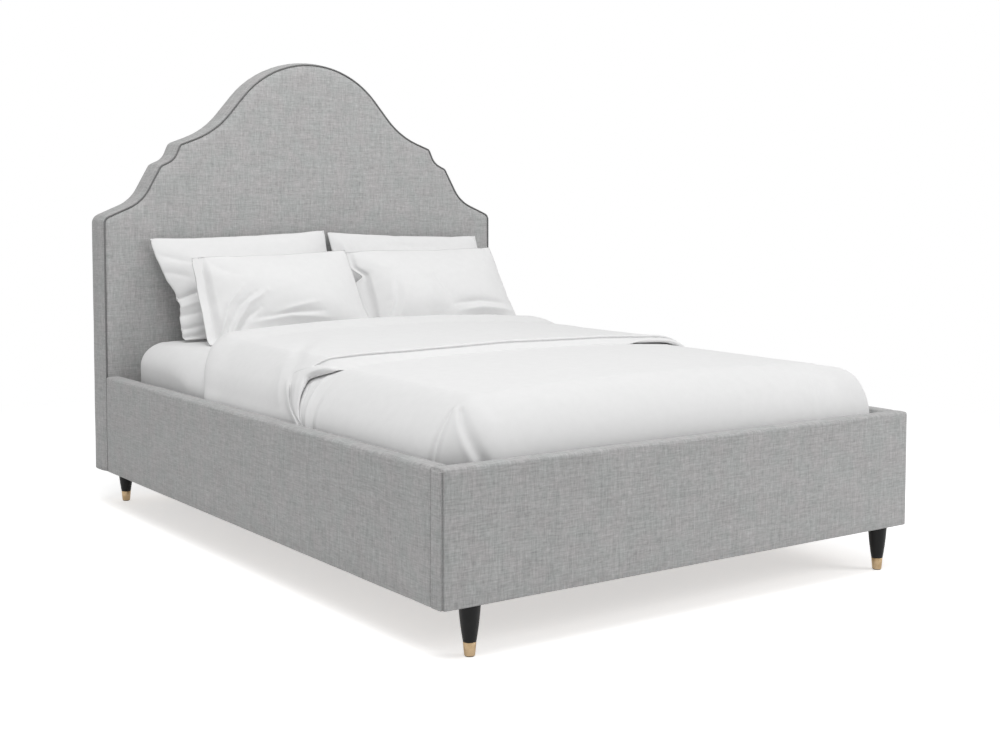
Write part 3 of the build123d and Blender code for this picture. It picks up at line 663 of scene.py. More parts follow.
def cord_tree() -> Tree:
    """A round cord swept along a path."""
    tree, given = new_tree("piping_along_path", ("Radius", "Step"))
    line = add(tree, "GeometryNodeMeshToCurve", None, {0: given.outputs["Path"]})
    even = add(tree, "GeometryNodeResampleCurve", {"mode": "LENGTH"}, {
        "Curve": line.outputs[0], "Length": given.outputs["Step"]})
    ring = add(tree, "GeometryNodeCurvePrimitiveCircle", None, {
        "Resolution": 12, "Radius": given.outputs["Radius"]})
    swept = add(tree, "GeometryNodeCurveToMesh", None, {
        "Curve": even.outputs[0], "Profile Curve": ring.outputs[0], "Fill Caps": True})
    end_tree(tree, given, swept.outputs[0])
    return tree


def staple_tree() -> Tree:
    """Staples set along a path at an even pitch, each lying along it."""
    tree, given = new_tree("staples_along_path", ("Pitch", "Length", "Wire"))
    line = add(tree, "GeometryNodeMeshToCurve", None, {0: given.outputs["Path"]})
    spots = add(tree, "GeometryNodeCurveToPoints", {"mode": "LENGTH"}, {
        "Curve": line.outputs[0], "Length": given.outputs["Pitch"]})
    size = add(tree, "ShaderNodeCombineXYZ", None, {
        0: given.outputs["Length"], 1: given.outputs["Wire"], 2: given.outputs["Wire"]})
    bar = add(tree, "GeometryNodeMeshCube", None, {"Size": size.outputs[0]})
    turn = add(tree, "FunctionNodeAlignRotationToVector", {"axis": "X"}, {"Vector": spots.outputs["Tangent"]})
    placed = add(tree, "GeometryNodeInstanceOnPoints", None, {
        "Points": spots.outputs[0], "Instance": bar.outputs[0], "Rotation": turn.outputs[0]})
    end_tree(tree, given, placed.outputs[0])
    return tree


@dataclass(frozen=True)
class Stretch:
    """One stretch of the crown outline, in millimetres and degrees: a straight run, or a bend to a slope."""

    run: float = 0.0
    radius: float = 0.0
    slope: float = 0.0


@dataclass
class CrownOutline:
    """The headboard's outline from the left underside over the crown to the right underside."""

    half_width: float
    top: float
    foot: float
    arc_step: float = 5.0
    run_step: float = 22.0
    side_steps: int = 40
    stretches: tuple[Stretch, ...] = (
        Stretch(radius=354.0, slope=49.5),
        Stretch(run=83.0),
        Stretch(radius=305.0, slope=20.3),
        Stretch(run=52.0),
        Stretch(radius=18.0, slope=66.0),
        Stretch(run=25.0),
        Stretch(radius=64.0, slope=24.0),
        Stretch(run=22.0),
        Stretch(radius=18.0, slope=60.5),
        Stretch(run=86.0),
        Stretch(radius=141.0, slope=23.0),
        Stretch(run=78.0),
        Stretch(radius=28.0, slope=90.0),
    )
    # The straight runs that share any spare width
    shared_runs: tuple[int, ...] = (1, 3, 11)

    def spare(self) -> float:
        """Spare width of each shared run, in metres along X."""
        slope, reach = 0.0, 0.0
        for stretch in self.stretches:
            if stretch.run:
                reach += stretch.run * math.cos(math.radians(slope))
                continue
            turn = math.sin(math.radians(stretch.slope)) - math.sin(math.radians(slope))
            reach += abs(turn) * stretch.radius
            slope = stretch.slope
        return (self.half_width - reach * MM) / len(self.shared_runs)

    def points(self, inset: float = 0.0) -> Array:
        """The outline drawn in by an inset, always with the same number of points.

        Args:
            inset: How far inside the true outline, in metres, less than its smallest bend.

        Returns:
            X and Z of each point.
        """
        x, z, slope = 0.0, self.top - inset, 0.0
        spare = self.spare()
        right = [(x, z)]
        for number, stretch in enumerate(self.stretches):
            heading = math.radians(slope)
            if stretch.run:
                length = stretch.run * MM
                if number in self.shared_runs:
                    length += spare / math.cos(heading)
                count = max(1, round(length / (self.run_step * MM)))
                for step in range(1, count + 1):
                    walked = length * step / count
                    right.append((x + walked * math.cos(heading), z - walked * math.sin(heading)))
                x, z = right[-1]
                continue
            side = 1 if stretch.slope > slope else -1
            radius = stretch.radius * MM - side * inset
            centre = (x - side * radius * math.sin(heading), z - side * radius * math.cos(heading))
            count = max(4, round(abs(stretch.slope - slope) / self.arc_step))
            for step in range(1, count + 1):
                turned = math.radians(slope + (stretch.slope - slope) * step / count)
                right.append((centre[0] + side * radius * math.sin(turned),
                              centre[1] + side * radius * math.cos(turned)))
            x, z = right[-1]
            slope = stretch.slope
        for step in range(1, self.side_steps + 1):
            right.append((x, z + (self.foot - z) * step / self.side_steps))
        left = [(-px, pz) for px, pz in reversed(right[1:])]
        return np.array(left + right)


@dataclass
class Headboard:
    """The crown headboard: front panel, foam, boxing band, piping, back lining and its boards."""

    piping_radius: float = 2.4
    piping_inset: float = 4.0
    piping_step: float = 9.0
    cover: float = 1.5
    # Insets of the rings at the panel's edge, how deep that edge lies, how far the panel swells and how soon
    panel_rings: tuple[float, ...] = (7.0, 8.6, 11.0, 14.5)
    panel_sunk: float = 5.5
    panel_puff: float = 3.0
    panel_turn: float = 9.0
    panel_pitch: float = 14.0
    foam_inset: float = 10.0
    foam_round: float = 4.0
    foam_pitch: float = 60.0
    # Section of the boxing: depth behind the front and inset, then depth before the back and inset
    boxing_front: Pairs = (
        (6.0, 4.8), (8.4, 2.0), (10.4, 0.6), (12.6, 0.0), (14.4, 0.3), (15.4, 1.7), (16.4, 0.3), (18.5, -0.9),
        (27.0, -2.8), (40.0, -4.8), (60.0, -6.0), (80.0, -5.8))
    boxing_back: Pairs = (
        (26.0, -4.4), (15.0, -2.2), (7.5, 1.0), (2.6, 5.0), (0.6, 10.5), (0.3, 24.0))
    # Where its uneven swelling starts and ends, from the front and from the back
    boxing_swell: Pair = (20.0, 14.0)
    lining_inset: float = 15.0
    lining_pitch: float = 45.0
    lining_cloth: float = 0.8
    staple_inset: float = 6.0
    staple_pitch: float = 42.0
    staple_length: float = 10.0
    staple_wire: float = 0.9
    body: str = "frame"

    def __post_init__(self) -> None:
        """Takes the outline and depths from the frame."""
        low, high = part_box("headboard_boxing")
        self.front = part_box("headboard_front_panel")[0].y
        self.back = high.y
        self.outline = CrownOutline(high.x, high.z, low.z)

    def panel(self) -> Piece:
        """Front panel that swells from behind the piping to the flat of the foam."""
        rings = [self.outline.points(inset * MM) for inset in self.panel_rings]
        points, faces = fill_outline(rings[0], rings[1:], self.panel_pitch * MM)
        away = distance_to_line(points, self.outline.points())[0] / MM - self.panel_rings[0]
        swelled = 1 - np.exp(-away / self.panel_turn)
        depth = self.panel_sunk - (self.panel_sunk + self.panel_puff) * swelled
        depth = depth + 0.7 * swell(points, 0.16, 3.0)
        pucker = swell(points, 0.017, 8.0) * np.exp(-away / 10.0)
        place = upright(points, self.front + (depth + 0.5 * pucker) * MM)
        piece = make_piece("headboard_front_linen", place, faces, points, outward=False)
        turn_faces(piece, TO_FOOT)
        thicken(piece, self.cover * MM)
        return dress(piece, LINEN, "linen", self.body, "headboard_front_panel")

    def foam(self) -> Piece:
        """Foam pad between the front board and the panel's cloth, with softened edges."""
        low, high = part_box("headboard_foam")
        inset, soft = self.foam_inset * MM, self.foam_round * MM
        front, back = low.y, high.y - 0.2 * MM
        flat, cap = fill_outline(self.outline.points(inset + soft), [], self.foam_pitch * MM)
        ring = self.outline.points(inset)
        points = [upright(flat, front), upright(ring, front + soft), upright(ring, back - soft),
                  upright(flat, back)]
        starts = np.cumsum([0] + [len(rows) for rows in points[:-1]]).tolist()
        faces = list(cap) + [tuple(starts[-1] + n for n in reversed(f)) for f in cap]
        for near, far in zip(starts, starts[1:]):
            faces += band_faces(near, far, len(ring))
        piece = make_piece("headboard_foam_pad", np.vstack(points), faces)
        return dress(piece, FOAM, "foam", self.body, "headboard_foam")

    def boxing(self) -> Piece:
        """Band round the edge, from the piping past a seam line to the turn onto the back."""
        depth = (self.back - self.front) / MM
        profile = [*self.boxing_front, *((depth - before, inset) for before, inset in self.boxing_back)]
        base = self.outline.points()
        outward = -beside(base)
        walked = walked_along(base)
        wave = swell(np.column_stack([walked, np.zeros(len(walked))]), 0.12, 5.0) * 0.5
        points, uv = [], []
        for (back, inset), over in zip(profile, walked_along(np.array(profile)) * MM):
            uneven = self.boxing_swell[0] < back < depth - self.boxing_swell[1]
            ring = base + outward * ((wave * uneven - inset) * MM)[:, None]
            points.append(upright(ring, self.front + back * MM))
            uv.append(np.column_stack([walked, np.full(len(ring), over)]))
        faces = grid_faces(len(profile), len(base), flip=True)
        piece = make_piece("headboard_boxing_linen", np.vstack(points), faces, np.vstack(uv), outward=False)
        turn_faces(piece, UPWARDS)
        thicken(piece, self.cover * MM)
        return dress(piece, LINEN, "linen", self.body, "headboard_boxing")

    def piping(self) -> Piece:
        """Cloth-covered cord in the seam between panel and boxing, drawn darker grey than the linen as
        painted shade of the seams either side of it.
        """
        inset = self.piping_inset * MM
        path = upright(self.outline.points(inset), self.front + inset)
        piece = run_nodes("headboard_piping_cord", path, cord_tree(), {
            "Radius": self.piping_radius * MM, "Step": self.piping_step * MM,
            "Finish": PIPING_CLOTH_SEAM_SHADE.material()})
        return dress(piece, PIPING_CLOTH_SEAM_SHADE, "piping_cloth", self.body, "headboard_piping")

    def lining(self) -> Piece:
        """Lining cloth stretched over the back, over the turned-in edge of the boxing."""
        ring = self.outline.points(self.lining_inset * MM)
        points, faces = fill_outline(ring, [], self.lining_pitch * MM)
        edge = distance_to_line(points, ring)[0] / MM
        sag = (1 - np.exp(-edge / 40.0)) * (0.6 + 0.5 * swell(points, 0.2, 4.0))
        place = upright(points, self.back + (0.9 - sag) * MM)
        piece = make_piece("headboard_back_lining_cloth", place, faces, points, outward=False)
        turn_faces(piece, TO_HEAD)
        thicken(piece, self.lining_cloth * MM)
        return dress(piece, LINING_CLOTH, "lining_cloth", self.body, "headboard_back_lining")

    def staples(self) -> Piece:
        """Staples that hold the lining, along its edge."""
        line = self.outline.points((self.lining_inset + self.staple_inset) * MM)
        piece = run_nodes("lining_staples", upright(line, self.back + 1.1 * MM), staple_tree(), {
            "Pitch": self.staple_pitch * MM, "Length": self.staple_length * MM, "Wire": self.staple_wire * MM,
            "Finish": ZINC.material()})
        return dress(piece, ZINC, "zinc_steel", self.body)

    def boards(self) -> None:
        """Finishes of the boards and rails inside."""
        finishes = {"front_board": PLY_HEAD, "back_board": PLY_HEAD, "lower_rail": PINE_X,
                    "upper_rail": PINE_X, "upright_left": PINE_Z, "upright_right": PINE_Z}
        for place, finish in finishes.items():
            paint(f"headboard_{place}", finish)

    def build(self) -> None:
        """Builds and dresses the whole headboard."""
        self.panel()
        self.foam()
        self.boxing()
        self.piping()
        self.lining()
        self.staples()
        self.boards()


def paint(node: str, finish: Finish) -> None:
    """Gives a CAD node that keeps its shape its finish."""
    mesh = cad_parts[node].data
    mesh.materials.clear()
    mesh.materials.append(finish.material())
    LOG.info("%s: %s", node, finish.name)


def round_corner(centre: Pair, radius: float, start: float, turn: float,
                 steps: int = 5) -> list[Pair]:
    """Points of a rounded corner in a section, from an angle in degrees through a turn."""
    angles = [math.radians(start + turn * n / steps) for n in range(steps + 1)]
    return [(centre[0] + radius * math.cos(a), centre[1] + radius * math.sin(a)) for a in angles]


@dataclass
class PaddedRails:
    """The padded linen covers of the side rails and the footboard, and the boards inside them."""

    padding: float = 9.4
    edge_radius: float = 8.5
    inner_wrap: float = 90.0
    face_steps: int = 9
    station_step: float = 24.0
    unevenness: float = 0.7
    # Ends of a side rail: distance from the end and how far the skin is drawn in there
    rail_ends: Pairs = ((0.2, 3.2), (1.0, 1.5), (3.0, 0.4), (8.0, 0.0))
    # The footboard's ends in the same way: sewn on at the front and the top, where the cloths roll into
    # a seam, and only rounded at the back
    sewn_end: Pairs = (
        (0.0, 14.0), (0.4, 10.0), (1.2, 7.6), (2.4, 6.4), (8.5, 8.5), (6.4, 2.4), (7.6, 1.2), (10.0, 0.4),
        (14.0, 0.0))
    plain_end: Pairs = (
        (0.0, 14.0), (0.1, 9.0), (0.3, 5.5), (0.7, 3.4), (1.2, 2.2), (2.0, 1.4), (3.4, 0.7), (6.0, 0.2),
        (14.0, 0.0))
    body: str = "frame"

    def outer_section(self, depth: float, height: float, inset: float = 0.0) -> list[Pair]:
        """Outer skin of a cover in section.

        Args:
            depth: Depth of the cover.
            height: Its height.
            inset: How far the skin is drawn in.

        Returns:
            Points from the foot of the outer face, over the top, to the end of the inner wrap.
        """
        r = max(self.edge_radius - inset, 0.4)
        left, right, top = inset, depth - inset, height - inset
        shares = [n / self.face_steps for n in range(self.face_steps)]
        face = [(left + 0.5 * (1 - math.sin(math.pi * share)), 3 + (top - r - 3) * share) for share in shares]
        outer = round_corner((left + r, top - r), r, 180, -90)
        inner = round_corner((right - r, top - r), r, 90, -90)
        end = height - self.inner_wrap
        wrap = [(right, top - r + (end - top + r) * n / 3) for n in range(1, 4)]
        return [(left + 1.6, 0.0)] + face + outer + [(depth / 2, top + 0.5)] + inner + wrap

    def side_rail(self, side: Side) -> Piece:
        """Cover of one side rail: a padded channel swept from the footboard to the headboard."""
        node = f"side_rail_{side.word}_cover"
        low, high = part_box(node)
        depth, height = (high.x - low.x) / MM, (high.z - low.z) / MM
        skin = self.outer_section(depth, height)
        pad = self.padding
        inside = [(depth - pad, height - self.inner_wrap), (depth - pad, height - pad), (pad, height - pad),
                  (pad, 0.0)]
        section = np.array(skin + inside)
        inward = np.zeros_like(section)
        inward[:len(skin)] = beside(section[:len(skin)])
        around = walked_along(section) * MM
        span = (high.y - low.y) / MM
        middle = np.linspace(20.0, span - 20.0, int(span / self.station_step))
        stations = [*self.rail_ends, *((y, 0.0) for y in middle),
                    *((span - y, drawn) for y, drawn in reversed(self.rail_ends))]
        points, uv = [], []
        for y, drawn in stations:
            ring = section + inward * drawn
            pull = swell(upright(ring, y) * MM, 0.14, 2.0 + side.value)[:, None] * self.unevenness
            ring = ring + inward * pull * (drawn == 0)
            x = low.x + ring[:, 0] * MM if side is Side.LEFT else high.x - ring[:, 0] * MM
            along = np.full(len(ring), low.y + y * MM)
            points.append(np.column_stack([x, along, low.z + ring[:, 1] * MM]))
            uv.append(np.column_stack([along, around]))
        size = len(section)
        faces = grid_faces(len(stations), size)
        last = (len(stations) - 1) * size
        faces += [(a + size - 1, a, a + size, a + 2 * size - 1) for a in range(0, last, size)]
        faces.append(tuple(range(size)))
        faces.append(tuple(range(last + size - 1, last - 1, -1)))
        piece = make_piece(f"side_rail_{side.word}_linen", np.vstack(points), faces, np.vstack(uv))
        return dress(piece, LINEN, "linen", self.body, node)

    def footboard(self) -> Piece:
        """Cover of the footboard: over the front, the top and part of the back, with sewn ends."""
        low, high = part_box("footboard_cover")
        depth, height = (high.y - low.y) / MM, (high.z - low.z) / MM
        skin = np.array(self.outer_section(depth, height))
        inward = beside(skin)
        flap = np.array([(depth, (height - self.inner_wrap) * share) for share in (0.66, 0.33, 0.0)])
        around = walked_along(np.vstack([skin, flap])) * MM
        span = (high.x - low.x) / MM
        size, wide = len(skin), len(skin) + len(flap)
        behind = (np.arange(wide) > size - 7).astype(float)
        ends = []
        for (x, drawn), (back_x, back_drawn) in zip(self.sewn_end, self.plain_end):
            front, back = (np.vstack([self.outer_section(depth, height, inset), flap - (inset, 0.0)])
                           for inset in (drawn, back_drawn))
            ends.append((x + (back_x - x) * behind, front * (1 - behind[:, None]) + back * behind[:, None]))
        middle = []
        for x in np.linspace(24.0, span - 24.0, int(span / self.station_step)):
            place = np.column_stack([np.full(size, x), skin])
            pull = swell(place * MM, 0.14, 9.0)[:, None] * self.unevenness
            middle.append((np.full(size, x), skin + inward * pull))
        stations = ends + middle + [(span - x, ring) for x, ring in reversed(ends)]
        points, uv, starts = [], [], [0]
        for x, ring in stations:
            points.append(np.column_stack([low.x + x * MM, low.y + ring[:, 0] * MM, low.z + ring[:, 1] * MM]))
            uv.append(np.column_stack([low.x + x * MM, around[:len(ring)]]))
            starts.append(starts[-1] + len(ring))
        faces = []
        for row, (here, there) in enumerate(zip(starts, starts[1:-1])):
            columns = wide if row < len(ends) - 1 or row >= len(ends) + len(middle) else size
            faces += [(here + n, here + n + 1, there + n + 1, there + n) for n in range(columns - 1)]
        faces.append(tuple(range(wide)))
        faces.append(tuple(range(starts[-1] - 1, starts[-2] - 1, -1)))
        piece = make_piece("footboard_linen", np.vstack(points), faces, np.vstack(uv))
        self.end_cloth(piece)
        thicken(piece, self.padding * MM)
        return dress(piece, LINEN, "linen", self.body, "footboard_cover")

    @staticmethod
    def end_cloth(piece: Piece) -> None:
        """Lays the weave flat on the sewn ends of the footboard."""
        layer = piece.data.uv_layers["cloth"].data
        for face in piece.data.polygons:
            if abs(face.normal.x) < 0.7:
                continue
            for loop in face.loop_indices:
                place = piece.data.vertices[piece.data.loops[loop].vertex_index].co
                layer[loop].uv = (place.y, place.z)

    def build(self) -> None:
        """Builds the covers and finishes the boards and their fixings."""
        for side in Side:
            self.side_rail(side)
            paint(f"side_rail_{side.word}_board", PLY_RAIL)
        self.footboard()
        paint("footboard_board", PLY_FOOT)
        for node in ("corner_brackets", "bracket_bolts"):
            paint(node, ZINC)


@dataclass
class Legs:
    """Four turned legs with brass ferrules, and what holds them."""

    corners: tuple[str, ...] = ("front_left", "front_right", "rear_left", "rear_right")
    sides: int = 48
    steps: int = 14
    swelling: float = 1.2
    cup_taper: float = 2.75
    body: str = "frame"

    def lathe(self, name: str, profile: Sequence[Pair], centre: Vector) -> Piece:
        """A turned piece from its profile of radius and height."""
        turns = [math.tau * step / self.sides for step in range(self.sides)]
        points = [(centre.x + radius * math.cos(turn), centre.y + radius * math.sin(turn), height)
                  for radius, height in profile for turn in turns]
        last = len(points) - self.sides
        faces = []
        for start in range(0, last, self.sides):
            faces += band_faces(start, start + self.sides, self.sides)
        faces.append(tuple(range(self.sides)))
        faces.append(tuple(range(last, len(points))))
        return make_piece(name, np.array(points), faces)

    def leg(self, corner: str) -> None:
        """One leg with its ferrule."""
        low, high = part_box(f"leg_{corner}")
        cup_low, cup_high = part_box(f"ferrule_{corner}")
        centre = (low + high) / 2
        top, joint = (high.x - low.x) / 2, (cup_high.x - cup_low.x) / 2
        wood = [(joint - 6 * MM, cup_low.z + 4 * MM), (joint - 3 * MM, cup_high.z - 0.2 * MM),
                (joint - 0.3 * MM, cup_high.z + 0.1 * MM), (joint, cup_high.z + 0.7 * MM)]
        for n in range(1, self.steps):
            share = n / self.steps
            bulge = self.swelling * MM * math.sin(math.pi * share)
            wood.append((joint + (top - joint) * share + bulge, cup_high.z + (high.z - cup_high.z) * share))
        wood += [(top, high.z - 1.5 * MM), (top - 0.8 * MM, high.z), (0.02, high.z)]
        piece = self.lathe(f"leg_{corner}_turned", wood, centre)
        dress(piece, BLACK_LACQUER, "black_lacquer", self.body, f"leg_{corner}")
        foot = joint - self.cup_taper * MM
        cup = [(0.008, cup_low.z), (foot - 1.0 * MM, cup_low.z), (foot - 0.2 * MM, cup_low.z + 0.3 * MM),
               (foot, cup_low.z + 1.2 * MM), (joint, cup_high.z - 1.0 * MM),
               (joint - 0.3 * MM, cup_high.z - 0.2 * MM), (joint - 1.0 * MM, cup_high.z),
               (joint - 2.2 * MM, cup_high.z - 0.6 * MM), (joint - 2.6 * MM, cup_high.z - 4 * MM)]
        piece = self.lathe(f"ferrule_{corner}_turned", cup, centre)
        dress(piece, BRASS, "brass", self.body, f"ferrule_{corner}")

    def build(self) -> None:
        """Builds the legs and finishes their fixings."""
        for corner in self.corners:
            self.leg(corner)
        paint("glides", FELT)
        paint("leg_plates", ZINC)
        paint("hanger_bolts", ZINC)


@dataclass
class SlattedBase:
    """The steel base with its slats, caps, ledges and props, which keep their nodes."""

    def build(self) -> None:
        """Finishes every piece of the base."""
        for end in ("left", "right", "foot", "head", "centre"):
            paint(f"base_tube_{end}", POWDER_COAT)
        for side in Side:
            paint(f"slats_{side.word}", BEECH)
            paint(f"slat_caps_{side.word}", NYLON)
            paint(f"ledge_{side.word}", PINE_Y)
        paint("ledge_screws", ZINC)
        paint("centre_props", POWDER_COAT)
        paint("centre_prop_pads", NYLON)


@dataclass
class Mattress:
    """Mattress in quilted ticking, and the fitted sheet stretched over it."""

    corner: float = 130.0
    bottom_edge: float = 34.0
    top_edge: float = 118.0
    # 1 gives a round top edge, more a flatter slope
    slope: float = 1.25
    # The round top edge past the duvet, where nothing presses it
    bare_edge: float = 80.0
    bare_from: Pair = (0.45, 0.60)
    hem: float = 90.0
    corner_seam: float = 60.0
    # Drag lines from the corner seams: how close they lie, how steep, how far in metres they run, and height
    drag_turns: float = 150.0
    drag_rise: float = 60.0
    drag_reach: float = 0.16
    drag_height: float = 0.9
    # Height, width and seed of the sheet's slack elsewhere
    slack: tuple[Triple, ...] = ((0.9, 0.11, 6.0), (0.35, 0.035, 2.0))
    sheet_cloth: float = 0.8
    core_pitch: float = 60.0
    sheet_pitch: float = 24.0
    body: str = "mattress"

    def plan(self, low: Vector, high: Vector, inset: float, steps: int = 9, run: int = 24) -> Array:
        """Plan outline with rounded corners, drawn in by an inset, always with the same number of points."""
        radius = max(self.corner * MM - inset, 4 * MM)
        x0, x1, y0, y1 = low.x + inset, high.x - inset, low.y + inset, high.y - inset
        spots = [((x1 - radius, y0 + radius), -90), ((x1 - radius, y1 - radius), 0),
                 ((x0 + radius, y1 - radius), 90), ((x0 + radius, y0 + radius), 180)]
        corners = [np.array(round_corner(centre, radius, start, 90, steps)) for centre, start in spots]
        outline = []
        for here, following in zip(corners, corners[1:] + corners[:1]):
            outline.append(here[:-1])
            shares = np.linspace(0, 1, run + 1)[:-1, None]
            outline.append(here[-1] + (following[0] - here[-1]) * shares)
        return np.vstack(outline)

    def block(self, low: Vector, high: Vector, hem: Sequence[Pair],
              pitch: float) -> tuple[Array, Faces, Array]:
        """Skin of a soft block.

        Args:
            low: Its lowest corner.
            high: Its highest corner.
            hem: Inset and height of the rings that come before its side, in metres.
            pitch: Spacing of the points on top.

        Returns:
            Points, faces and cloth coordinates, with the top closed and the bottom open.
        """
        profile = [*hem, *self.edge_rings(low.z, high.z, self.top_edge, self.slope)]
        bare = [*hem, *self.edge_rings(low.z, high.z, self.bare_edge, 1.0)]
        rings = [self.plan(low, high, inset) for inset, _ in profile]
        count = len(rings[0])
        points = [np.column_stack([ring, np.full(count, z)]) for ring, (_, z) in zip(rings, profile)]
        for row, (inset, z) in enumerate(bare[:-1]):
            square = np.column_stack([self.plan(low, high, inset), np.full(count, z)])
            share = ease(*self.bare_from, points[row][:, 1])[:, None]
            points[row] = points[row] * (1 - share) + square * share
        run = walked_along(np.array(profile))
        inner = rings[-1]
        uv = []
        for ring, walked in zip(rings, run):
            away = (ring - inner) / np.maximum(np.linalg.norm(ring - inner, axis=1), 1e-6)[:, None]
            uv.append(ring + away * (run[-1] - walked))
        first = (len(rings) - 1) * count
        faces = []
        for start in range(0, first, count):
            faces += band_faces(start, start + count, count)
        flat, cap = fill_outline(inner, [], pitch)
        points[-1] = np.column_stack([flat, np.full(len(flat), high.z)])
        uv[-1] = flat
        faces += [tuple(first + n for n in f) for f in cap]
        return np.vstack(points), faces, np.vstack(uv)

    def edge_rings(self, low: float, high: float, edge: float, slope: float) -> list[Pair]:
        """Insets and heights of a block's side: rounded at the bottom and the top."""
        under, over = self.bottom_edge * MM, edge * MM
        turns = [math.radians(90 * n / 11) for n in range(12)]
        bottom = [(under * (1 - math.sin(t)), low + under * (1 - math.cos(t))) for t in turns]
        top = [(over * (1 - math.cos(t) ** slope), high - over * (1 - math.sin(t) ** slope)) for t in turns]
        middle = [(0.0, low + under + (high - over - low - under) * share) for share in (0.3, 0.6)]
        return bottom + middle + top

    def core(self) -> Piece:
        """The mattress itself."""
        low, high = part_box("mattress_core")
        points, faces, uv = self.block(low, high, [], self.core_pitch * MM)
        faces.append(tuple(range(len(self.plan(low, high, 0.0)))))
        piece = make_piece("mattress_ticking", points, faces, uv)
        return dress(piece, TICKING, "mattress", self.body, "mattress_core")

    def sheet(self) -> Piece:
        """Fitted sheet with its elastic hem under the mattress and drag lines at the corners."""
        low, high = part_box("fitted_sheet")
        hem = [(inset * MM, low.z + 0.2 * MM) for inset in (self.hem, 60.0, 46.0)]
        points, faces, uv = self.block(low, high, hem, self.sheet_pitch * MM)
        middle = np.array(((low + high) / 2)[:2])
        corner = np.array(high[:2]) - self.corner_seam * MM
        away = np.linalg.norm(np.abs(points[:, :2] - middle) - (corner - middle), axis=1)
        # Drag lines run from the corner seam over the edge; elsewhere the cloth only swells a little
        turned = np.arctan2(points[:, 1], points[:, 0])
        lines = np.sin(turned * self.drag_turns + points[:, 2] * self.drag_rise)
        drag = lines * np.exp(-away / self.drag_reach) * self.drag_height
        slack = sum(height * swell(points, width, seed) for height, width, seed in self.slack)
        margin = np.array([0.15, 0.15, 0.1])
        out = points - np.clip(points, np.array(low) + margin, np.array(high) - margin)
        out /= np.maximum(np.linalg.norm(out, axis=1), 1e-9)[:, None]
        lift = np.where(points[:, 2] < low.z + 0.01, 0.0, (drag + slack) * MM)
        piece = make_piece("fitted_sheet_cotton", points + out * lift[:, None], faces, uv, outward=False)
        turn_faces(piece, UPWARDS)
        thicken(piece, self.sheet_cloth * MM)
        return dress(piece, COTTON, "cotton", self.body, "fitted_sheet")

    def build(self) -> None:
        """Builds the mattress and its sheet."""
        self.core()
        self.sheet()


@dataclass
class Crease:
    """A soft ridge or hollow in cloth along a line, in metres."""

    line: Pairs
    height: float
    width: float

    def lift(self, cloth: Array) -> Array:
        """How far the crease lifts each point of the cloth, fading towards the line's ends."""
        away, along = distance_to_line(cloth, np.array(self.line))
        fade = np.sin(np.pi * np.clip(along, 0.04, 0.96)) ** 0.6
        return self.height * np.exp(-(away / self.width) ** 1.4) * fade


def course(corners: Sequence[Pair], places: Array) -> Array:
    """Height of a line of straight runs at each place, with its corners rounded."""
    across, along = zip(*corners)
    shifts = np.linspace(-0.009, 0.009, 7)
    return np.mean([np.interp(places + shift, across, along) for shift in shifts], axis=0)


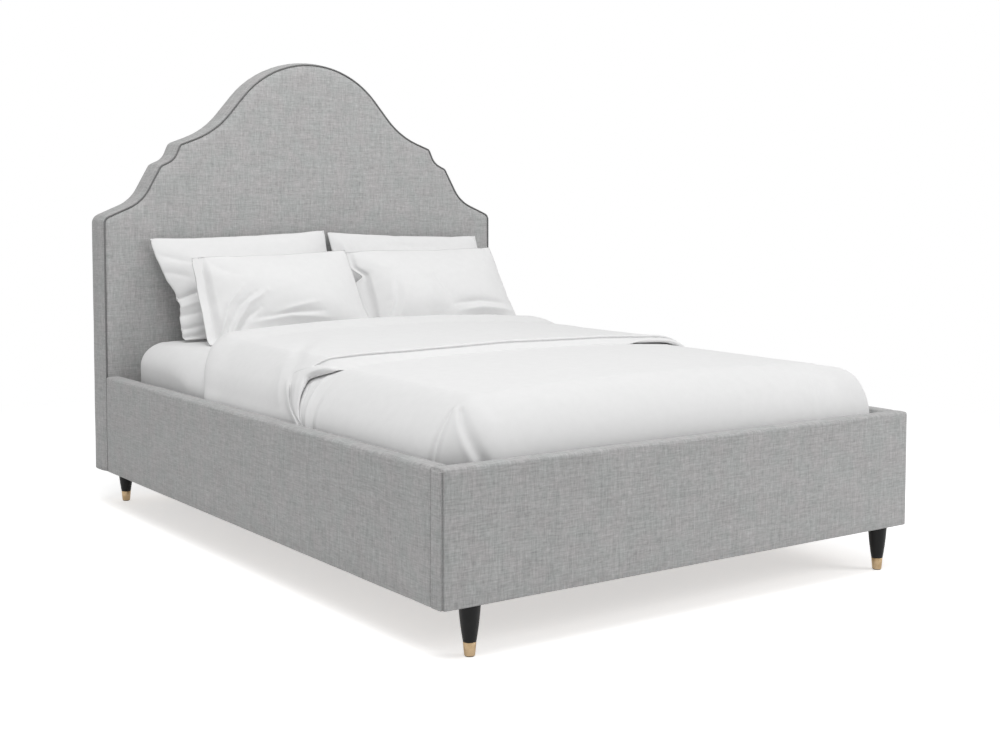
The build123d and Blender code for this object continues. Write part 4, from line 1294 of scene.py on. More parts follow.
@dataclass
class Duvet:
    """The duvet, tucked in at the sides and foot, with its head end turned back as a cuff.

    Thicknesses and heights are in millimetres; places on the cloth and spans along it are in metres.
    """

    corner: float = 150.0
    shoulder: float = 150.0
    left_slope: float = 0.3
    # How far the left side leans in where it is tucked behind the rail, and where down the side it does
    tuck: float = 5.0
    tuck_span: Pair = (0.15, 0.24)
    # How much more the left side slopes under the cuff, and between which places along Y that begins
    cuff_slope: float = 0.2
    cuff_slope_span: Pair = (-0.35, 0.0)
    pleat_room: float = 4.0
    foot_loft: float = 16.0
    head_loft: float = 26.0
    foot_crown: float = 14.0
    head_crown: float = 20.0
    # Height, width and seed of the filling's lumps, and the share of them that is lost down the side
    lump_sizes: tuple[Triple, ...] = ((2.2, 0.26, 1.0), (0.8, 0.09, 12.0))
    lump_loss: float = 0.8
    lump_span: Pair = (0.08, 0.18)
    # Padding over the sheet, by distance down the shoulder, and further down at the foot and the sides
    shoulder_pad: Pairs = ((0.0, 22.0), (0.05, 9.0), (0.12, 5.0))
    foot_pad: float = 6.5
    side_pad: float = 11.0
    covered_pad: float = 6.0
    side_span: Pair = (0.15, 0.23)
    # Dart of the left foot corner: its two edges and how far they spread down it, in degrees round the corner
    dart_edges: Pairs = ((28.0, -3.0), (33.0, 22.0))
    dart_fall: Pair = (0.085, 0.115)
    dart_span: tuple[float, ...] = (0.07, 0.095, 0.23, 0.26)
    # Its rims and hollows: number of the edge, degrees past it, width in degrees and height
    dart_folds: tuple[tuple[int, float, float, float], ...] = (
        (0, 0.0, 2.4, 5.25), (1, 0.0, 4.5, 2.8), (0, -5.5, 3.2, -8.4), (1, 9.0, 6.5, -7.0))
    # The boxed right foot corner: how much fuller it stands, then turn, width and height of the edge down it
    box_full: float = 34.0
    box_span: Pair = (0.03, 0.14)
    box_edge: Triple = (56.0, 5.0, 4.0)
    box_edge_span: Pair = (0.08, 0.13)
    fold: float = 9.0
    fold_reach: float = 0.12
    cuff_pad: float = 19.0
    cuff_lip: float = 23.0
    lip_span: Pair = (0.03, 0.2)
    # Share of its thickness that the cuff loses down the side, and how far it presses the layer under it in
    squeeze_loss: float = 0.62
    squeeze_span: Pair = (0.07, 0.18)
    press_depth: float = 8.0
    press_span: Pair = (0.12, 0.19)
    # How far the lying part is drawn in along the cuff's edge, down the left side
    drawn_in: float = 7.0
    drawn_span: Pair = (0.08, 0.13)
    # Where the cuff's edge stands off: place across the cloth, width and height, then the whole left side
    lip_rises: tuple[Triple, ...] = ((-0.644, 0.016, 3.5), (0.56, 0.08, 4.0))
    lip_side: float = 5.0
    lip_side_span: Pair = (-0.72, -0.662)
    lip_gap: float = 0.6
    # Places across the cloth between which the hem lies flat, and where it is whole, without an open seam
    hem_lies: tuple[float, ...] = (-0.632, -0.59, 0.42, 0.50)
    hem_whole: tuple[float, ...] = (-0.722, -0.686, -0.644, -0.616)
    pleat_span: Pair = (-0.70, -0.675)
    pleat_rise: float = 0.35
    # Place across the cloth and Y of the cuff's free edge
    cuff_edge: Pairs = (
        (-0.95, -0.345), (-0.81, -0.315), (-0.78, -0.298), (-0.742, -0.272), (-0.69, -0.243),
        (-0.664, -0.222), (-0.648, -0.272), (-0.634, -0.298), (-0.60, -0.315), (-0.54, -0.316),
        (-0.47, -0.304), (-0.30, -0.290), (0.40, -0.283), (0.60, -0.295), (0.95, -0.330))
    # Place across the cloth and distance of the hem seam from that edge; down the left it becomes a pleat
    hem_seam: Pairs = (
        (-0.95, 0.003), (-0.80, 0.004), (-0.777, 0.010), (-0.755, 0.034), (-0.74, 0.048), (-0.695, 0.076),
        (-0.664, 0.098), (-0.648, 0.066), (-0.634, 0.090), (-0.60, 0.104), (-0.54, 0.110), (-0.455, 0.080),
        (-0.367, 0.055), (-0.30, 0.042), (0.95, 0.034))
    # Rows of that seam, as distance in millimetres and share of the thickness: on top the flap's edge stands
    # a little over the hem, and down the left side it overlaps it
    open_seam: Pairs = (
        (5.0, 1.0), (1.5, 0.97), (-0.8, 0.90), (-1.6, 0.82), (-0.8, 0.75), (2.4, 0.70), (2.4, 0.60),
        (-1.0, 0.58), (-4.0, 0.61), (-8.0, 0.62))
    side_pleat: Pairs = (
        (6.0, 1.35), (2.0, 1.38), (-1.5, 1.34), (-3.0, 1.26), (-1.0, 1.16), (14.0, 1.0), (14.0, 0.30),
        (-1.0, 0.18), (-5.0, 0.40), (-10.0, 0.62))
    # Place across the cloth and distance of the fold from the head end: it has slipped at the sides
    head_fold: Pairs = (
        (-0.95, -0.195), (-0.80, -0.180), (-0.768, -0.168), (-0.651, -0.070), (-0.57, -0.030),
        (-0.42, -0.018), (0.55, -0.018), (0.66, -0.050), (0.95, -0.070))
    lying_creases: tuple[Crease, ...] = (
        Crease(((-0.86, -0.362), (-0.77, -0.332), (-0.717, -0.310), (-0.672, -0.292), (-0.63, -0.285)),
               0.007, 0.010),
        Crease(((-0.86, -0.388), (-0.78, -0.362), (-0.70, -0.342), (-0.64, -0.335)), -0.004, 0.012),
        Crease(((-0.82, -0.400), (-0.76, -0.385), (-0.70, -0.374), (-0.64, -0.395)), 0.004, 0.014),
        Crease(((0.525, -0.965), (0.519, -0.997), (0.492, -1.087), (0.47, -1.16)), 0.003, 0.006),
        Crease(((0.505, -0.975), (0.495, -1.01), (0.470, -1.087), (0.45, -1.16)), -0.003, 0.012),
    )
    cuff_creases: tuple[Crease, ...] = (
        Crease(((-0.38, 0.235), (-0.447, 0.143), (-0.56, 0.0), (-0.65, -0.115), (-0.70, -0.18)),
               -0.007, 0.020),
        Crease(((-0.66, -0.175), (-0.69, -0.205), (-0.74, -0.247), (-0.775, -0.29)), 0.003, 0.014),
        Crease(((-0.32, 0.24), (-0.48, 0.04), (-0.62, -0.14)), 0.004, 0.028),
        Crease(((-0.58, 0.04), (-0.68, -0.09), (-0.76, -0.17)), 0.004, 0.026),
    )
    body: str = "duvet"

    def __post_init__(self) -> None:
        """Takes the outer sizes from the frame."""
        low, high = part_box("duvet")
        self.half = high.x
        self.foot = low.y + self.pleat_room * MM
        self.head = high.y
        self.hem = low.z
        self.sheet_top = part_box("fitted_sheet")[1].z
        self.core_x = self.half - self.corner * MM
        self.core_foot = self.foot + self.corner * MM
        self.quarter = math.pi / 2 * math.sqrt((self.corner ** 2 + self.shoulder ** 2) / 2) * MM
        top = self.sheet_top + self.foot_loft * MM
        self.reach = self.quarter + top - self.shoulder * MM - self.hem

    def columns(self) -> Array:
        """Places across the cloth, closer together where folds are fine."""
        edge = self.core_x + self.reach
        parts = []
        for start, end, step in ((-edge, -0.60, 0.0034), (-0.60, -0.5, 0.006), (-0.5, 0.44, 0.02),
                                 (0.44, 0.56, 0.006), (0.56, edge, 0.013)):
            parts.append(np.linspace(start, end, max(2, round((end - start) / step)), endpoint=False))
        return np.concatenate(parts + [[edge]])

    def shell(self, p: Array, y: Array, past_foot: Array) -> tuple[Array, ...]:
        """Places on the duvet's outer form.

        Args:
            p: Distance across the cloth from its middle line.
            y: Y of the place, at most down to the foot's rounding.
            past_foot: Distance along the cloth beyond that, over the foot.

        Returns:
            The places, the outward directions there, how far each lies down the side, and the turn round the
            corner from the side to the foot.
        """
        side = np.maximum(np.abs(p) - self.core_x, 0.0)
        down = np.maximum(side, past_foot)
        turn = np.where(down > 0, math.pi / 4 * (1 + (past_foot - side) / np.maximum(down, 1e-9)), 0.0)
        bend = np.minimum(down / self.quarter, 1.0) * math.pi / 2
        # The left side slopes more than it rounds
        slope = self.left_slope + self.cuff_slope * ease(*self.cuff_slope_span, y)
        power = 1 + np.where(p < 0, slope, 0.0) * np.cos(turn) ** 2
        level, steep = np.cos(bend), np.sin(bend)
        out = self.corner * MM * steep ** power
        out = out - self.tuck * MM * ease(*self.tuck_span, down) * np.cos(turn) ** 2 * (p < 0)
        below = np.maximum(down - self.quarter, 0.0)
        drop = self.shoulder * MM * (1 - level ** power) + below
        share = np.clip((y - self.foot) / (self.head - self.foot), 0, 1)
        crown = (self.foot_crown + (self.head_crown - self.foot_crown) * share) * MM
        loft = (self.foot_loft + (self.head_loft - self.foot_loft) * share) * MM
        x_core = np.clip(p, -self.core_x, self.core_x)
        top = self.sheet_top + loft + crown * (1 - (x_core / self.core_x) ** 2)
        sign = np.sign(p)
        x = x_core + sign * out * np.cos(turn)
        place = np.column_stack([x, y - out * np.sin(turn), np.maximum(top - drop, self.hem)])
        rise, outward = level ** (2 - power), steep ** (2 - power)
        length = np.hypot(rise, outward)
        normal = np.column_stack([sign * outward * np.cos(turn), -outward * np.sin(turn), rise])
        return place, normal / length[:, None], down, turn

    def dart(self, p: Array, down: Array, turn: Array) -> Array:
        """Lift of the foot corners: at the left a flat dart with a rim and a hollow on each side."""
        start, length = self.dart_fall
        fall = np.clip((down - start) / length, 0.0, 1.2)
        degrees = np.degrees(turn)
        lift = np.zeros(len(p))
        for number, past, width, height in self.dart_folds:
            edge, spread = self.dart_edges[number]
            lift = lift + height * MM * mound(degrees - (edge + spread * fall), past, width)
        lift = lift * window(self.dart_span, down)
        # The right corner is boxed instead: it stands fuller, with one edge down it
        boxed = np.sin(2 * turn) ** 2 * self.box_full * MM * ease(*self.box_span, down)
        middle, width, height = self.box_edge
        boxed = boxed + height * MM * mound(degrees, middle, width) * ease(*self.box_edge_span, down)
        return np.where(p < 0, lift, boxed)

    def lumps(self, cloth: Array) -> Array:
        """Uneven filling of the duvet."""
        return sum(height * MM * swell(cloth, width, seed) for height, width, seed in self.lump_sizes)

    def squeeze(self, down: Array) -> Array:
        """Share of the full thickness that is left where the cuff is squeezed down the side."""
        return 1 - self.squeeze_loss * ease(*self.squeeze_span, down)

    def press(self, down: Array) -> Array:
        """How far the lying layer is pressed in at the sides under the cuff."""
        return self.press_depth * MM * ease(*self.press_span, down)

    def lip_lift(self, p: Array) -> Array:
        """Lift of the cuff's edge off the duvet, most at the two shoulders."""
        rises = sum(height * mound(p, middle, width) for middle, width, height in self.lip_rises)
        return (rises + self.lip_side * (1 - ease(*self.lip_side_span, p)) + self.lip_gap) * MM

    def lying_row(self, p: Array, y: Array, past: Array,
                  cuff: Array) -> Rows:
        """One row of the lying part.

        Args:
            p: Places across the cloth.
            y: Y of each, at most down to the foot's rounding.
            past: Distance along the cloth beyond that.
            cuff: Y of the cuff's edge.

        Returns:
            The outer skin, the inner skin and the cloth coordinates.
        """
        base, normal, down, turn = self.shell(p, y, past)
        spot = np.column_stack([p, y - past])
        lift = self.lumps(spot) * (1 - self.lump_loss * ease(*self.lump_span, down))
        for crease in self.lying_creases:
            lift = lift + crease.lift(spot)
        lift = lift + self.dart(p, down, turn)
        covered = ease(-0.006, 0.03, y - cuff)
        # Down the left side the lying part is drawn in along the cuff's edge
        drawn = self.drawn_in * MM * mound(y - cuff, -0.002, 0.006) * ease(*self.drawn_span, down) * (p < 0)
        lift = lift * (1 - covered) - self.press(down) * covered - drawn
        place = base + normal * lift[:, None]
        place[:, 1] = np.maximum(place[:, 1], self.foot - 3.5 * MM)
        over_sheet = np.clip(place[:, 2] - self.sheet_top - 1.2 * MM, 5 * MM, 22 * MM)
        at_shoulder = np.interp(down, *zip(*self.shoulder_pad)) * MM
        sides = self.side_pad + (self.covered_pad - self.side_pad) * covered
        at_side = np.where(turn > math.pi / 4, self.foot_pad, sides)
        low_down = ease(*self.side_span, down)
        pad = np.minimum(over_sheet, at_shoulder) * (1 - low_down) + at_side * MM * low_down
        return place, place - normal * pad[:, None], spot

    def cuff_row(self, p: Array, inward: Array, share: Array | float, head: Array,
                 cuff: Array) -> Rows:
        """One row of the cuff.

        Args:
            p: Places across the cloth.
            inward: Distance of each from the cuff's free edge.
            share: Share of the full thickness, less than 1 on the hem.
            head: Y of the fold.
            cuff: Y of the cuff's free edge.

        Returns:
            The underside, the outer skin and the cloth coordinates.
        """
        y = cuff + inward
        base, normal, down, _ = self.shell(p, y, np.zeros(len(p)))
        base = base - normal * self.press(down)[:, None]
        spot = np.column_stack([p, y])
        squeezed = self.squeeze(down)
        lay = (2 * self.fold * MM * (1 - ease(0.0, self.fold_reach, head - y)) + 1 * MM) * squeezed
        lay = lay + (1 - ease(0.0, 0.11, inward)) * self.lip_lift(p) + self.lumps(spot) * squeezed
        full = (self.cuff_pad + (self.cuff_lip - self.cuff_pad) * (1 - ease(*self.lip_span, inward))) * MM
        full = full * squeezed * (1 + 0.08 * swell(spot, 0.12, 7.0))
        # On top the hem slopes down to the lying part; at both shoulders it stands off, with a rounded lip
        seam = course(self.hem_seam, p)
        lying = window(self.hem_lies, p)
        reach = np.clip(inward / 0.011, 0.0, 1.0)
        slope = ease(0.0, 1.0, np.clip(inward / np.maximum(seam - 0.006, 0.004), 0.0, 1.0))
        lip = 0.35 + 0.65 * np.sqrt(1 - (1 - reach) ** 2)
        outer = lay + full * share * (slope * lying + lip * (1 - lying))
        outer = outer - 0.0022 * lying * (1 - ease(0.0, 0.03, inward))
        for crease in self.cuff_creases:
            outer = outer + crease.lift(spot)
        under = np.minimum(lay + full * 0.28 * (1 - reach) ** 2, outer - 0.0012)
        cloth = np.column_stack([p, 2 * head - y])
        return base + normal * under[:, None], base + normal * outer[:, None], cloth

    def cuff_rows(self, p: Array, head: Array,
                  cuff: Array) -> list[Rows]:
        """Rows of the cuff from the fold to its free edge: the flap, its open seam, and the hem."""
        seam = course(self.hem_seam, p)
        near, far = seam + 0.10, head - cuff
        rows = [far * (1 - share) + near * share for share in np.linspace(0, 1, 25)[:-1]]
        rows += [seam + inward for inward in np.linspace(0.10, 0.010, 30)]
        made = []
        pleat = 1 - ease(*self.pleat_span, p)
        for inward in rows:
            raised = 1 + self.pleat_rise * pleat * mound(inward - seam, 0.006, 0.02)
            made.append(self.cuff_row(p, inward, raised, head, cuff))
        # Between the seam on top and the pleat at the side the cloth is whole
        whole = window(self.hem_whole, p)
        stages = np.array([self.open_seam, self.side_pleat])
        for share, (top, side) in zip(np.linspace(0, 1, len(self.open_seam)), stages.swapaxes(0, 1)):
            shift, height = top[:, None] * (1 - pleat) + side[:, None] * pleat
            shift = shift + (5 - 13 * share - shift) * whole
            height = height + (1 - 0.10 * share - height) * whole
            inward = np.maximum(seam + shift * MM, 0.0008 + 0.0001 * (share < 0.5))
            made.append(self.cuff_row(p, inward, height, head, cuff))
        last = inward
        for share in np.linspace(1, 0, 18)[1:]:
            made.append(self.cuff_row(p, 0.0006 + (last - 0.0006) * share, height, head, cuff))
        return made

    def fold_row(self, p: Array, head: Array,
                 turned: float) -> Rows:
        """One row of the fold at the head end, at an angle from the lying part to the cuff."""
        base, normal, down, _ = self.shell(p, head, np.zeros(len(p)))
        base = base - normal * self.press(down)[:, None]
        radius = self.fold * MM * self.squeeze(down)
        ahead = np.array([0.0, 1.0, 0.0])
        up, out = radius * (1 - math.cos(turned)), radius * math.sin(turned)
        place = base + normal * up[:, None] + ahead * out[:, None]
        facing = normal * math.cos(turned) - ahead * math.sin(turned)
        pad = self.cuff_pad * MM * self.squeeze(down)
        return place, place - facing * pad[:, None], np.column_stack([p, head + radius * turned])

    def build(self) -> Piece:
        """Builds the duvet as one folded pad, row by row from the foot hem to the cuff's edge."""
        p = self.columns()
        head = self.head + course(self.head_fold, p)
        cuff = course(self.cuff_edge, p)
        rows = []
        for past in np.linspace(self.reach, 0, 46)[:-1]:
            rows.append(self.lying_row(p, np.full(len(p), self.core_foot), np.full(len(p), past), cuff))
        shares = np.concatenate([np.linspace(0, 0.28, 20)[:-1], np.linspace(0.28, 0.385, 12)[:-1],
                                 np.linspace(0.385, 0.515, 48)[:-1], np.linspace(0.515, 1.0, 16)])
        for share in shares:
            y = self.core_foot + share * (head - self.core_foot)
            rows.append(self.lying_row(p, y, np.zeros(len(p)), cuff))
        for turned in np.linspace(0, math.pi, 9)[1:-1]:
            rows.append(self.fold_row(p, head, turned))
        rows += self.cuff_rows(p, head, cuff)
        count, width = len(rows), len(p)
        points = np.vstack([row[0] for row in rows] + [row[1] for row in rows])
        cloth = np.vstack([row[2] for row in rows] * 2)
        second = count * width
        faces = grid_faces(count, width) + grid_faces(count, width, second, flip=True)
        rim = [row * width for row in range(count)]
        rim += [(count - 1) * width + n for n in range(1, width)]
        rim += [row * width + width - 1 for row in range(count - 2, -1, -1)]
        rim += list(range(width - 2, 0, -1))
        for a, b in zip(rim, rim[1:] + rim[:1]):
            faces.append((a, b, second + b, second + a))
        piece = make_piece("duvet_cotton", points, faces, cloth)
        return dress(piece, COTTON, "cotton", self.body, "duvet")


@dataclass
class Pillow:
    """One pillow: two sewn cloths blown up in a cloth simulation, then leaned in its place."""

    node: str
    height: float
    to_headboard: float
    lean: float
    seed: float
    # How far the top left, top right, bottom right and bottom left corners are drawn along X and up
    drawn: Pairs
    # Folds of the front, in X and height up the pillow
    folds: tuple[Crease, ...]
    # Height, as a share, at which the left edge is pulled in, and how far
    waist: Pair = (0.5, 0.0)
    # Unevenness of the left edge
    ruffle: float = 0.0
    # Line in X and height up the pillow below which it falls back, how far, and over what distance in metres
    slump: Pairs = ()
    slump_depth: float = 40.0
    slump_reach: float = 0.2
    # Width of the flat open end at the left, and how much of it hangs out past the filling
    flange: float = 0.0
    hanging: float = 0.0
    # How far the top left corner reaches out over that end
    ear: float = 0.0
    thickness: float = 125.0
    # Fullness at the bottom, and how much less it is at the top, since the filling sinks
    filling: Pair = (1.06, 0.30)
    slack: float = 1.07
    pitch: float = 9.0
    pressure: float = 4.0
    frames: int = 20
    # Share of the simulated shape along X, Y and Z; the rest keeps the sewn outline nearly straight
    blown: Triple = (0.12, 0.45, 0.08)
    # How softly it is pressed flat on the mattress and at the headboard, and its gap to that
    give: float = 24.0
    wall_gap: float = 6.0

    def flat(self, width: float) -> Piece:
        """Two cloths of the cut size for a pillow of a given width, sewn round their edge, a little apart."""
        across = width * self.slack
        up = self.height * MM * self.slack
        columns, rows = round(across / (self.pitch * MM)), round(up / (self.pitch * MM))
        xs, zs = np.linspace(-across / 2, across / 2, columns + 1), np.linspace(-up / 2, up / 2, rows + 1)
        grid = np.array([(x, z) for z in zs for x in xs])
        rim = np.minimum(1 - np.abs(grid[:, 0]) / (across / 2), 1 - np.abs(grid[:, 1]) / (up / 2))
        apart = 0.004 + 0.006 * np.minimum(rim * 4, 1) + 0.0015 * swell(grid, 0.05, self.seed)
        on_rim = rim < 1e-6
        front = np.column_stack([grid[:, 0], np.where(on_rim, 0, -apart), grid[:, 1]])
        back = np.column_stack([grid[:, 0], np.where(on_rim, 0, apart), grid[:, 1]])
        inner = np.where(~on_rim)[0]
        second = np.arange(len(grid))
        second[inner] = len(grid) + np.arange(len(inner))
        faces = grid_faces(rows + 1, columns + 1)
        faces += [tuple(int(second[n]) for n in reversed(f)) for f in grid_faces(rows + 1, columns + 1)]
        points = np.vstack([front, back[inner]])
        cloth = np.vstack([grid, grid[inner]])
        return make_piece(self.node + "_cotton", points, faces, cloth)

    def blow_up(self, piece: Piece) -> None:
        """Swells the sewn cloths under pressure, without gravity, and keeps the result."""
        cloth = piece.modifiers.new("cloth", "CLOTH")
        settings = {
            "quality": 6, "mass": 0.2, "tension_stiffness": 18.0, "compression_stiffness": 9.0,
            "shear_stiffness": 6.0, "bending_stiffness": 0.05, "use_pressure": True,
            "uniform_pressure_force": self.pressure}
        for key, value in settings.items():
            setattr(cloth.settings, key, value)
        cloth.settings.effector_weights.gravity = 0.0
        cloth.collision_settings.use_collision = False
        cloth.point_cache.frame_start = 1
        cloth.point_cache.frame_end = self.frames
        scene = bpy.context.scene
        for step in range(1, self.frames + 1):
            scene.frame_set(step)
        self.keep(piece, cloth)
        scene.frame_set(1)

    @staticmethod
    def keep(piece: Piece, modifier: bpy.types.Modifier) -> None:
        """Makes a modifier's result the piece's own mesh."""
        seen = piece.evaluated_get(bpy.context.evaluated_depsgraph_get())
        result = bpy.data.meshes.new_from_object(seen)
        piece.modifiers.remove(modifier)
        old = piece.data
        piece.data = result
        bpy.data.meshes.remove(old)

    def refine(self, piece: Piece) -> Array:
        """Divides the mesh for the folds, and gives each vertex's place on its cloth, from -1 to 1."""
        smooth = piece.modifiers.new("smooth", "SUBSURF")
        smooth.levels = smooth.render_levels = 1
        self.keep(piece, smooth)
        mesh = piece.data
        corners = np.empty(len(mesh.loops), dtype=np.int32)
        mesh.loops.foreach_get("vertex_index", corners)
        uv = np.empty(2 * len(mesh.loops), dtype=np.float32)
        mesh.uv_layers["cloth"].data.foreach_get("uv", uv)
        cloth = np.zeros((len(mesh.vertices), 2))
        cloth[corners] = uv.reshape(-1, 2)
        return cloth / np.abs(cloth).max(0)

    def sized(self, piece: Piece, cloth: Array, size: Array) -> tuple[Array, Array]:
        """Brings the pillow to its size and blends the simulated shape with a plain one.

        Args:
            piece: The pillow.
            cloth: Place of each vertex on its cloth.
            size: Width, thickness and height.

        Returns:
            The places, and which of them belong to the front.
        """
        points = np.array([v.co for v in piece.data.vertices])
        points -= (points.max(0) + points.min(0)) / 2
        points *= size / np.maximum(points.max(0) - points.min(0), 1e-6)
        dome = np.clip((1 - np.abs(cloth[:, 0]) ** 2.6) * (1 - np.abs(cloth[:, 1]) ** 2.2), 0, 1) ** 0.68
        plain = np.column_stack([cloth[:, 0], np.sign(points[:, 1]) * dome, cloth[:, 1]]) * size / 2
        mix = np.array(self.blown)
        return points * mix + plain * (1 - mix), points[:, 1] < 0

    def open_end(self, points: Array, reach: Array, up: Array) -> None:
        """Flattens the open end at the left and adds its seam, the flap that hangs out and the ear over it.

        Args:
            points: Places of the vertices, which are moved.
            reach: Distance of each from the left edge.
            up: Height of each, as a share.
        """
        width, hanging = self.flange * MM, self.hanging * MM
        points[:, 1] *= 1 - 0.88 * (1 - ease(0.9 * width, 1.5 * width, reach))
        seam = 3 * MM * mound(reach, width, 5 * MM)
        points[:, 1] -= np.sign(points[:, 1]) * np.minimum(seam, np.abs(points[:, 1]) * 0.8)
        hang = (1 - ease(0.62, 0.72, up)) * (1 - np.clip(reach / width, 0.0, 1.0))
        points[:, 0] -= hanging * hang
        points[:, 1] += 0.3 * hanging * hang
        points[:, 0] -= self.ear * MM * ease(0.70, 0.84, up) * (1 - ease(0.0, 0.2, reach))

    def leaned(self, points: Array, base: float) -> Array:
        """Leans the pillow back on its lower edge, pressed flat on what it stands on and leans on."""
        turn, give = math.radians(self.lean), self.give * MM
        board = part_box("headboard_front_panel")[0].y
        y = board - self.to_headboard * MM + points[:, 1] * math.cos(turn) + points[:, 2] * math.sin(turn)
        z = points[:, 2] * math.cos(turn) - points[:, 1] * math.sin(turn)
        z = np.where(z < give, give * np.exp((z - give) / give), z)
        start = board - self.wall_gap * MM - give
        y = np.where(y > start, start + give - give * np.exp((start - y) / give), y)
        return np.column_stack([points[:, 0], y, base + z])

    def settle(self, piece: Piece, cloth: Array) -> None:
        """Gives the pillow its size, open end, drawn corners, folds and slump, and leans it in its place."""
        low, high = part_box(self.node)
        size = np.array([high.x - low.x, self.thickness * MM, self.height * MM])
        points, front = self.sized(piece, cloth, size)
        up = cloth[:, 1] / 2 + 0.5
        points[:, 1] *= self.filling[0] - self.filling[1] * up
        if self.flange:
            self.open_end(points, (cloth[:, 0] + 1) * size[0] / 2, up)
        left, right = (1 - cloth[:, 0]) / 2, (1 + cloth[:, 0]) / 2
        weights = np.column_stack([left * up, right * up, right * (1 - up), left * (1 - up)])
        shift = weights @ (np.array(self.drawn) * MM)
        pulled = self.waist[1] * MM * mound(up, self.waist[0], 0.16) * left ** 4
        points[:, 0] += shift[:, 0] + pulled + (low.x + high.x) / 2
        points[:, 2] += shift[:, 1] + size[2] / 2
        points[:, 0] += self.ruffle * MM * swell(cloth * size[2] / 2, 0.028, self.seed) * left ** 5
        spot = points[:, (0, 2)]
        for fold in self.folds:
            points[:, 1] -= np.where(front, fold.lift(spot), 0.0)
        if self.slump:
            start, end = np.array(self.slump)
            way = (end - start) / np.linalg.norm(end - start)
            beyond = (spot - start) @ np.array([way[1], -way[0]])
            points[:, 1] += self.slump_depth * MM * ease(0.0, self.slump_reach, beyond)
        place = self.leaned(points, low.z)
        piece.data.vertices.foreach_set("co", place.astype(np.float32).ravel())
        piece.data.update()

    def build(self) -> Piece:
        """Builds the pillow."""
        low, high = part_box(self.node)
        piece = self.flat(high.x - low.x)
        self.blow_up(piece)
        self.settle(piece, self.refine(piece))
        piece.data.shade_smooth()
        return dress(piece, COTTON, "cotton", self.node, self.node)


PILLOWS = (
    Pillow("large_pillow_left", 385.0, 166.0, 21.0, seed=1.0, waist=(0.42, 22.0), ruffle=4.0,
           drawn=((32, -14), (40, 6), (30, 0), (102, 0)), folds=(
        Crease(((-0.63, 0.146), (-0.55, 0.158), (-0.46, 0.182)), -0.017, 0.009),
        Crease(((-0.61, 0.120), (-0.55, 0.124), (-0.49, 0.136)), 0.0093, 0.010),
        Crease(((-0.61, 0.092), (-0.55, 0.094), (-0.48, 0.100)), -0.0109, 0.008),
        Crease(((-0.61, 0.048), (-0.55, 0.048), (-0.48, 0.054)), -0.0109, 0.008),
        Crease(((-0.60, 0.018), (-0.55, 0.020), (-0.49, 0.024)), -0.0093, 0.008),
        Crease(((-0.61, 0.310), (-0.56, 0.290), (-0.50, 0.266)), -0.0062, 0.013),
        Crease(((-0.62, 0.255), (-0.57, 0.240), (-0.52, 0.218)), -0.0062, 0.012),
    )),
    Pillow("large_pillow_right", 385.0, 166.0, 21.0, seed=5.0,
           drawn=((40, 0), (18, -26), (12, 0), (46, 0)), folds=(
        Crease(((0.085, 0.36), (0.094, 0.31), (0.106, 0.24)), 0.0078, 0.018),
        Crease(((0.13, 0.36), (0.14, 0.30), (0.16, 0.24)), -0.0062, 0.020),
        Crease(((0.28, 0.322), (0.40, 0.312), (0.52, 0.307)), -0.0047, 0.014),
    )),
    Pillow("small_pillow_left", 345.0, 362.0, 31.0, seed=9.0, flange=34.0,
           slump=((-0.44, 0.345), (-0.05, 0.08)),
           drawn=((2, -8), (7, 3), (30, 0), (-4, 0)), folds=(
        Crease(((-0.41, 0.205), (-0.462, 0.154), (-0.492, 0.089), (-0.53, -0.02)), 0.0124, 0.009),
        Crease(((-0.33, 0.180), (-0.40, 0.144), (-0.447, 0.087), (-0.51, -0.02)), 0.0139, 0.010),
        Crease(((-0.37, 0.182), (-0.43, 0.145), (-0.468, 0.085), (-0.52, -0.02)), -0.0124, 0.008),
        Crease(((-0.36, 0.130), (-0.41, 0.100), (-0.46, 0.03)), -0.0093, 0.008),
        Crease(((-0.40, 0.080), (-0.26, 0.088), (-0.12, 0.070)), 0.0093, 0.009),
        Crease(((-0.34, 0.098), (-0.25, 0.113), (-0.16, 0.124)), 0.0078, 0.008),
        Crease(((-0.37, 0.096), (-0.25, 0.101), (-0.14, 0.094)), -0.0093, 0.007),
        Crease(((-0.30, 0.060), (-0.20, 0.062), (-0.06, 0.050)), -0.0078, 0.009),
        Crease(((-0.50, 0.33), (-0.46, 0.28), (-0.40, 0.25)), -0.0062, 0.020),
    )),
    Pillow("small_pillow_right", 345.0, 362.0, 31.0, seed=14.0, flange=16.0, hanging=62.0, ear=34.0,
           slump=((0.15, 0.345), (0.26, 0.10)),
           drawn=((-8, 2), (-8, 0), (16, 0), (-4, 0)), folds=(
        Crease(((0.165, 0.22), (0.150, 0.13), (0.09, 0.01)), 0.0080, 0.014),
        Crease(((0.21, 0.20), (0.188, 0.12), (0.135, 0.02)), 0.0070, 0.016),
        Crease(((0.186, 0.21), (0.168, 0.13), (0.112, 0.02)), -0.0085, 0.012),
        Crease(((0.39, 0.096), (0.50, 0.104), (0.64, 0.094)), -0.0109, 0.010),
        Crease(((0.40, 0.068), (0.50, 0.074), (0.65, 0.064)), 0.0109, 0.010),
        Crease(((0.44, 0.045), (0.52, 0.050), (0.63, 0.040)), -0.0078, 0.009),
        Crease(((0.33, 0.23), (0.36, 0.16), (0.40, 0.08)), -0.0109, 0.030),
        Crease(((0.29, 0.20), (0.30, 0.13), (0.33, 0.06)), 0.0078, 0.030),
    )),
)


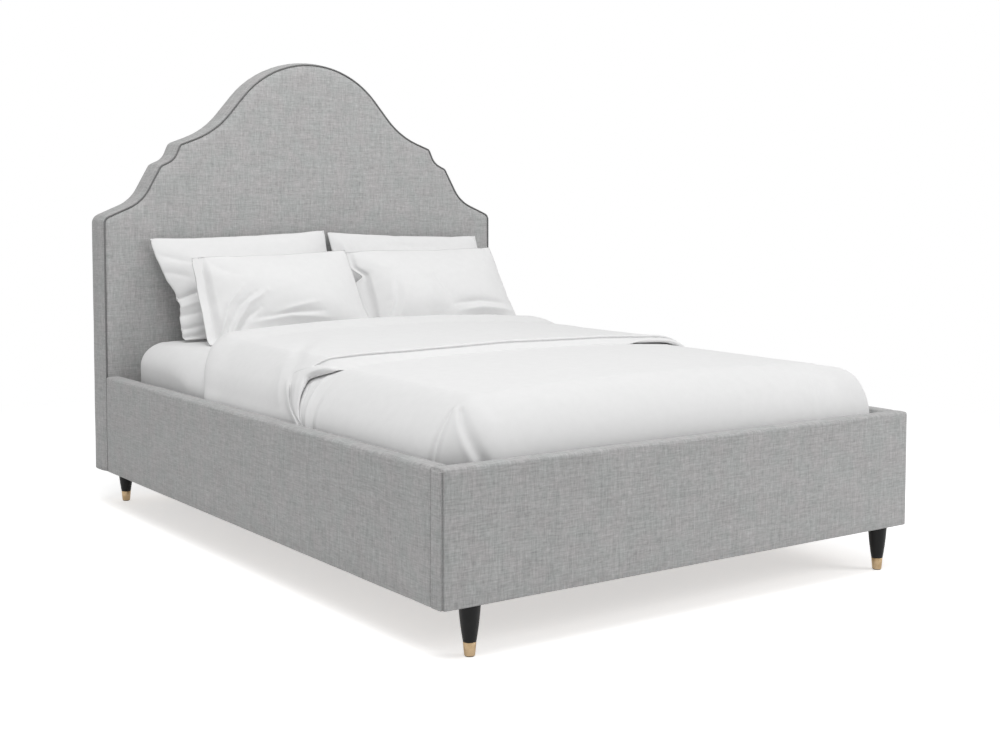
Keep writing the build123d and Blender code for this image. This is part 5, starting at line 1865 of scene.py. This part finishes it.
@dataclass
class Studio:
    """Camera, soft lights, white surroundings and the floor."""

    camera_place: Triple = (-2.539, -3.8305, 1.042)
    heading: float = 0.6114
    pitch: float = 3.5
    lens: float = 53.46
    shift: float = -0.088
    ambient: float = 0.46
    floor_size: float = 9.0
    floor_glow: float = 0.57
    # Distances from the middle over which the floor turns white
    floor_fade: Pair = (1.6, 3.6)

    def camera(self) -> None:
        """The camera at the photograph's viewing angle."""
        data = bpy.data.cameras.new("camera")
        data.lens = self.lens
        data.sensor_width = 36.0
        data.shift_y = self.shift
        made = bpy.data.objects.new("camera", data)
        made.location = self.camera_place
        made.rotation_euler = Euler((math.radians(90 - self.pitch), 0.0, -self.heading))
        bpy.context.scene.collection.objects.link(made)
        bpy.context.scene.camera = made

    @staticmethod
    def seen_directly(tree: Tree) -> Socket:
        """1 for rays from the camera, a mirror or through glass, which see the white surroundings."""
        path = add(tree, "ShaderNodeLightPath")
        first = add(tree, "ShaderNodeMath", {"operation": "MAXIMUM"},
                    {0: path.outputs["Is Camera Ray"], 1: path.outputs["Is Glossy Ray"]})
        return add(tree, "ShaderNodeMath", {"operation": "MAXIMUM"},
                   {0: first.outputs[0], 1: path.outputs["Is Transmission Ray"]}).outputs[0]

    def surroundings(self) -> None:
        """White where it is seen, and a plain soft light where it falls on the bed."""
        world = bpy.data.worlds.new("surroundings")
        bpy.context.scene.world = world
        world.use_nodes = True
        tree = world.node_tree
        tree.nodes.clear()
        strength = add(tree, "ShaderNodeMapRange", None, {
            "Value": self.seen_directly(tree), "To Min": self.ambient, "To Max": 1.0})
        light = add(tree, "ShaderNodeBackground", None, {
            "Color": linear("#FFFFFF"), "Strength": strength.outputs[0]})
        add(tree, "ShaderNodeOutputWorld", None, {"Surface": light.outputs[0]})

    def lamp(self, name: str, place: Triple, aim: Triple, size: float,
             power: float) -> None:
        """One large square soft light."""
        data = bpy.data.lights.new(name, "AREA")
        data.shape = "SQUARE"
        data.size = size
        data.energy = power
        made = bpy.data.objects.new(name, data)
        made.location = place
        made.rotation_euler = (Vector(aim) - Vector(place)).to_track_quat("-Z", "Y").to_euler()
        bpy.context.scene.collection.objects.link(made)

    def lamps(self) -> None:
        """A high light over the bed that reaches the headboard, and a weaker one from the front right."""
        self.lamp("top_light", (-1.3, -0.9, 4.4), (0.0, 0.3, 0.7), 2.6, 93.0)
        self.lamp("front_light", (3.2, -3.6, 2.3), (0.0, 0.2, 0.6), 1.7, 58.0)

    def floor(self) -> None:
        """A pale floor that keeps the bed's shadow and fades to white away from it."""
        half = self.floor_size / 2
        points = np.array([(-half, -half, 0), (half, -half, 0), (half, half, 0), (-half, half, 0)])
        piece = make_piece("floor", points, [(0, 1, 2, 3)], outward=False)
        material = bpy.data.materials.new("floor_pale")
        material.use_nodes = True
        tree = material.node_tree
        tree.nodes.clear()
        matt = add(tree, "ShaderNodeBsdfDiffuse", None, {"Color": linear("#F2F2F2")})
        seen = self.seen_directly(tree)
        glow = add(tree, "ShaderNodeMath", {"operation": "MULTIPLY"}, {0: seen, 1: self.floor_glow})
        lit = add(tree, "ShaderNodeEmission", None, {"Color": linear("#FFFFFF"), "Strength": glow.outputs[0]})
        near = add(tree, "ShaderNodeAddShader", None, {0: matt.outputs[0], 1: lit.outputs[0]})
        white = add(tree, "ShaderNodeEmission", None, {"Color": linear("#FFFFFF"), "Strength": 1.0})
        place = add(tree, "ShaderNodeTexCoord").outputs["Object"]
        away = add(tree, "ShaderNodeVectorMath", {"operation": "LENGTH"}, {0: place})
        far = add(tree, "ShaderNodeMapRange", {"interpolation_type": "SMOOTHSTEP"}, {
            "Value": away.outputs["Value"], "From Min": self.floor_fade[0], "From Max": self.floor_fade[1]})
        share = add(tree, "ShaderNodeMath", {"operation": "MULTIPLY"}, {0: far.outputs[0], 1: seen})
        shown = add(tree, "ShaderNodeMixShader", None, {
            0: share.outputs[0], 1: near.outputs[0], 2: white.outputs[0]})
        add(tree, "ShaderNodeOutputMaterial", None, {"Surface": shown.outputs[0]})
        piece.data.materials.append(material)

    def build(self) -> None:
        """Sets up the studio."""
        bpy.context.scene.view_settings.view_transform = "Standard"
        self.camera()
        self.surroundings()
        self.lamps()
        self.floor()


def main() -> None:
    """Builds every sub-assembly."""
    logging.basicConfig(level=logging.INFO, format="%(name)s: %(message)s")
    Studio().build()
    for part in (Headboard(), PaddedRails(), Legs(), SlattedBase(), Mattress(), Duvet(), *PILLOWS):
        part.build()


if __name__ == "__main__":
    main()
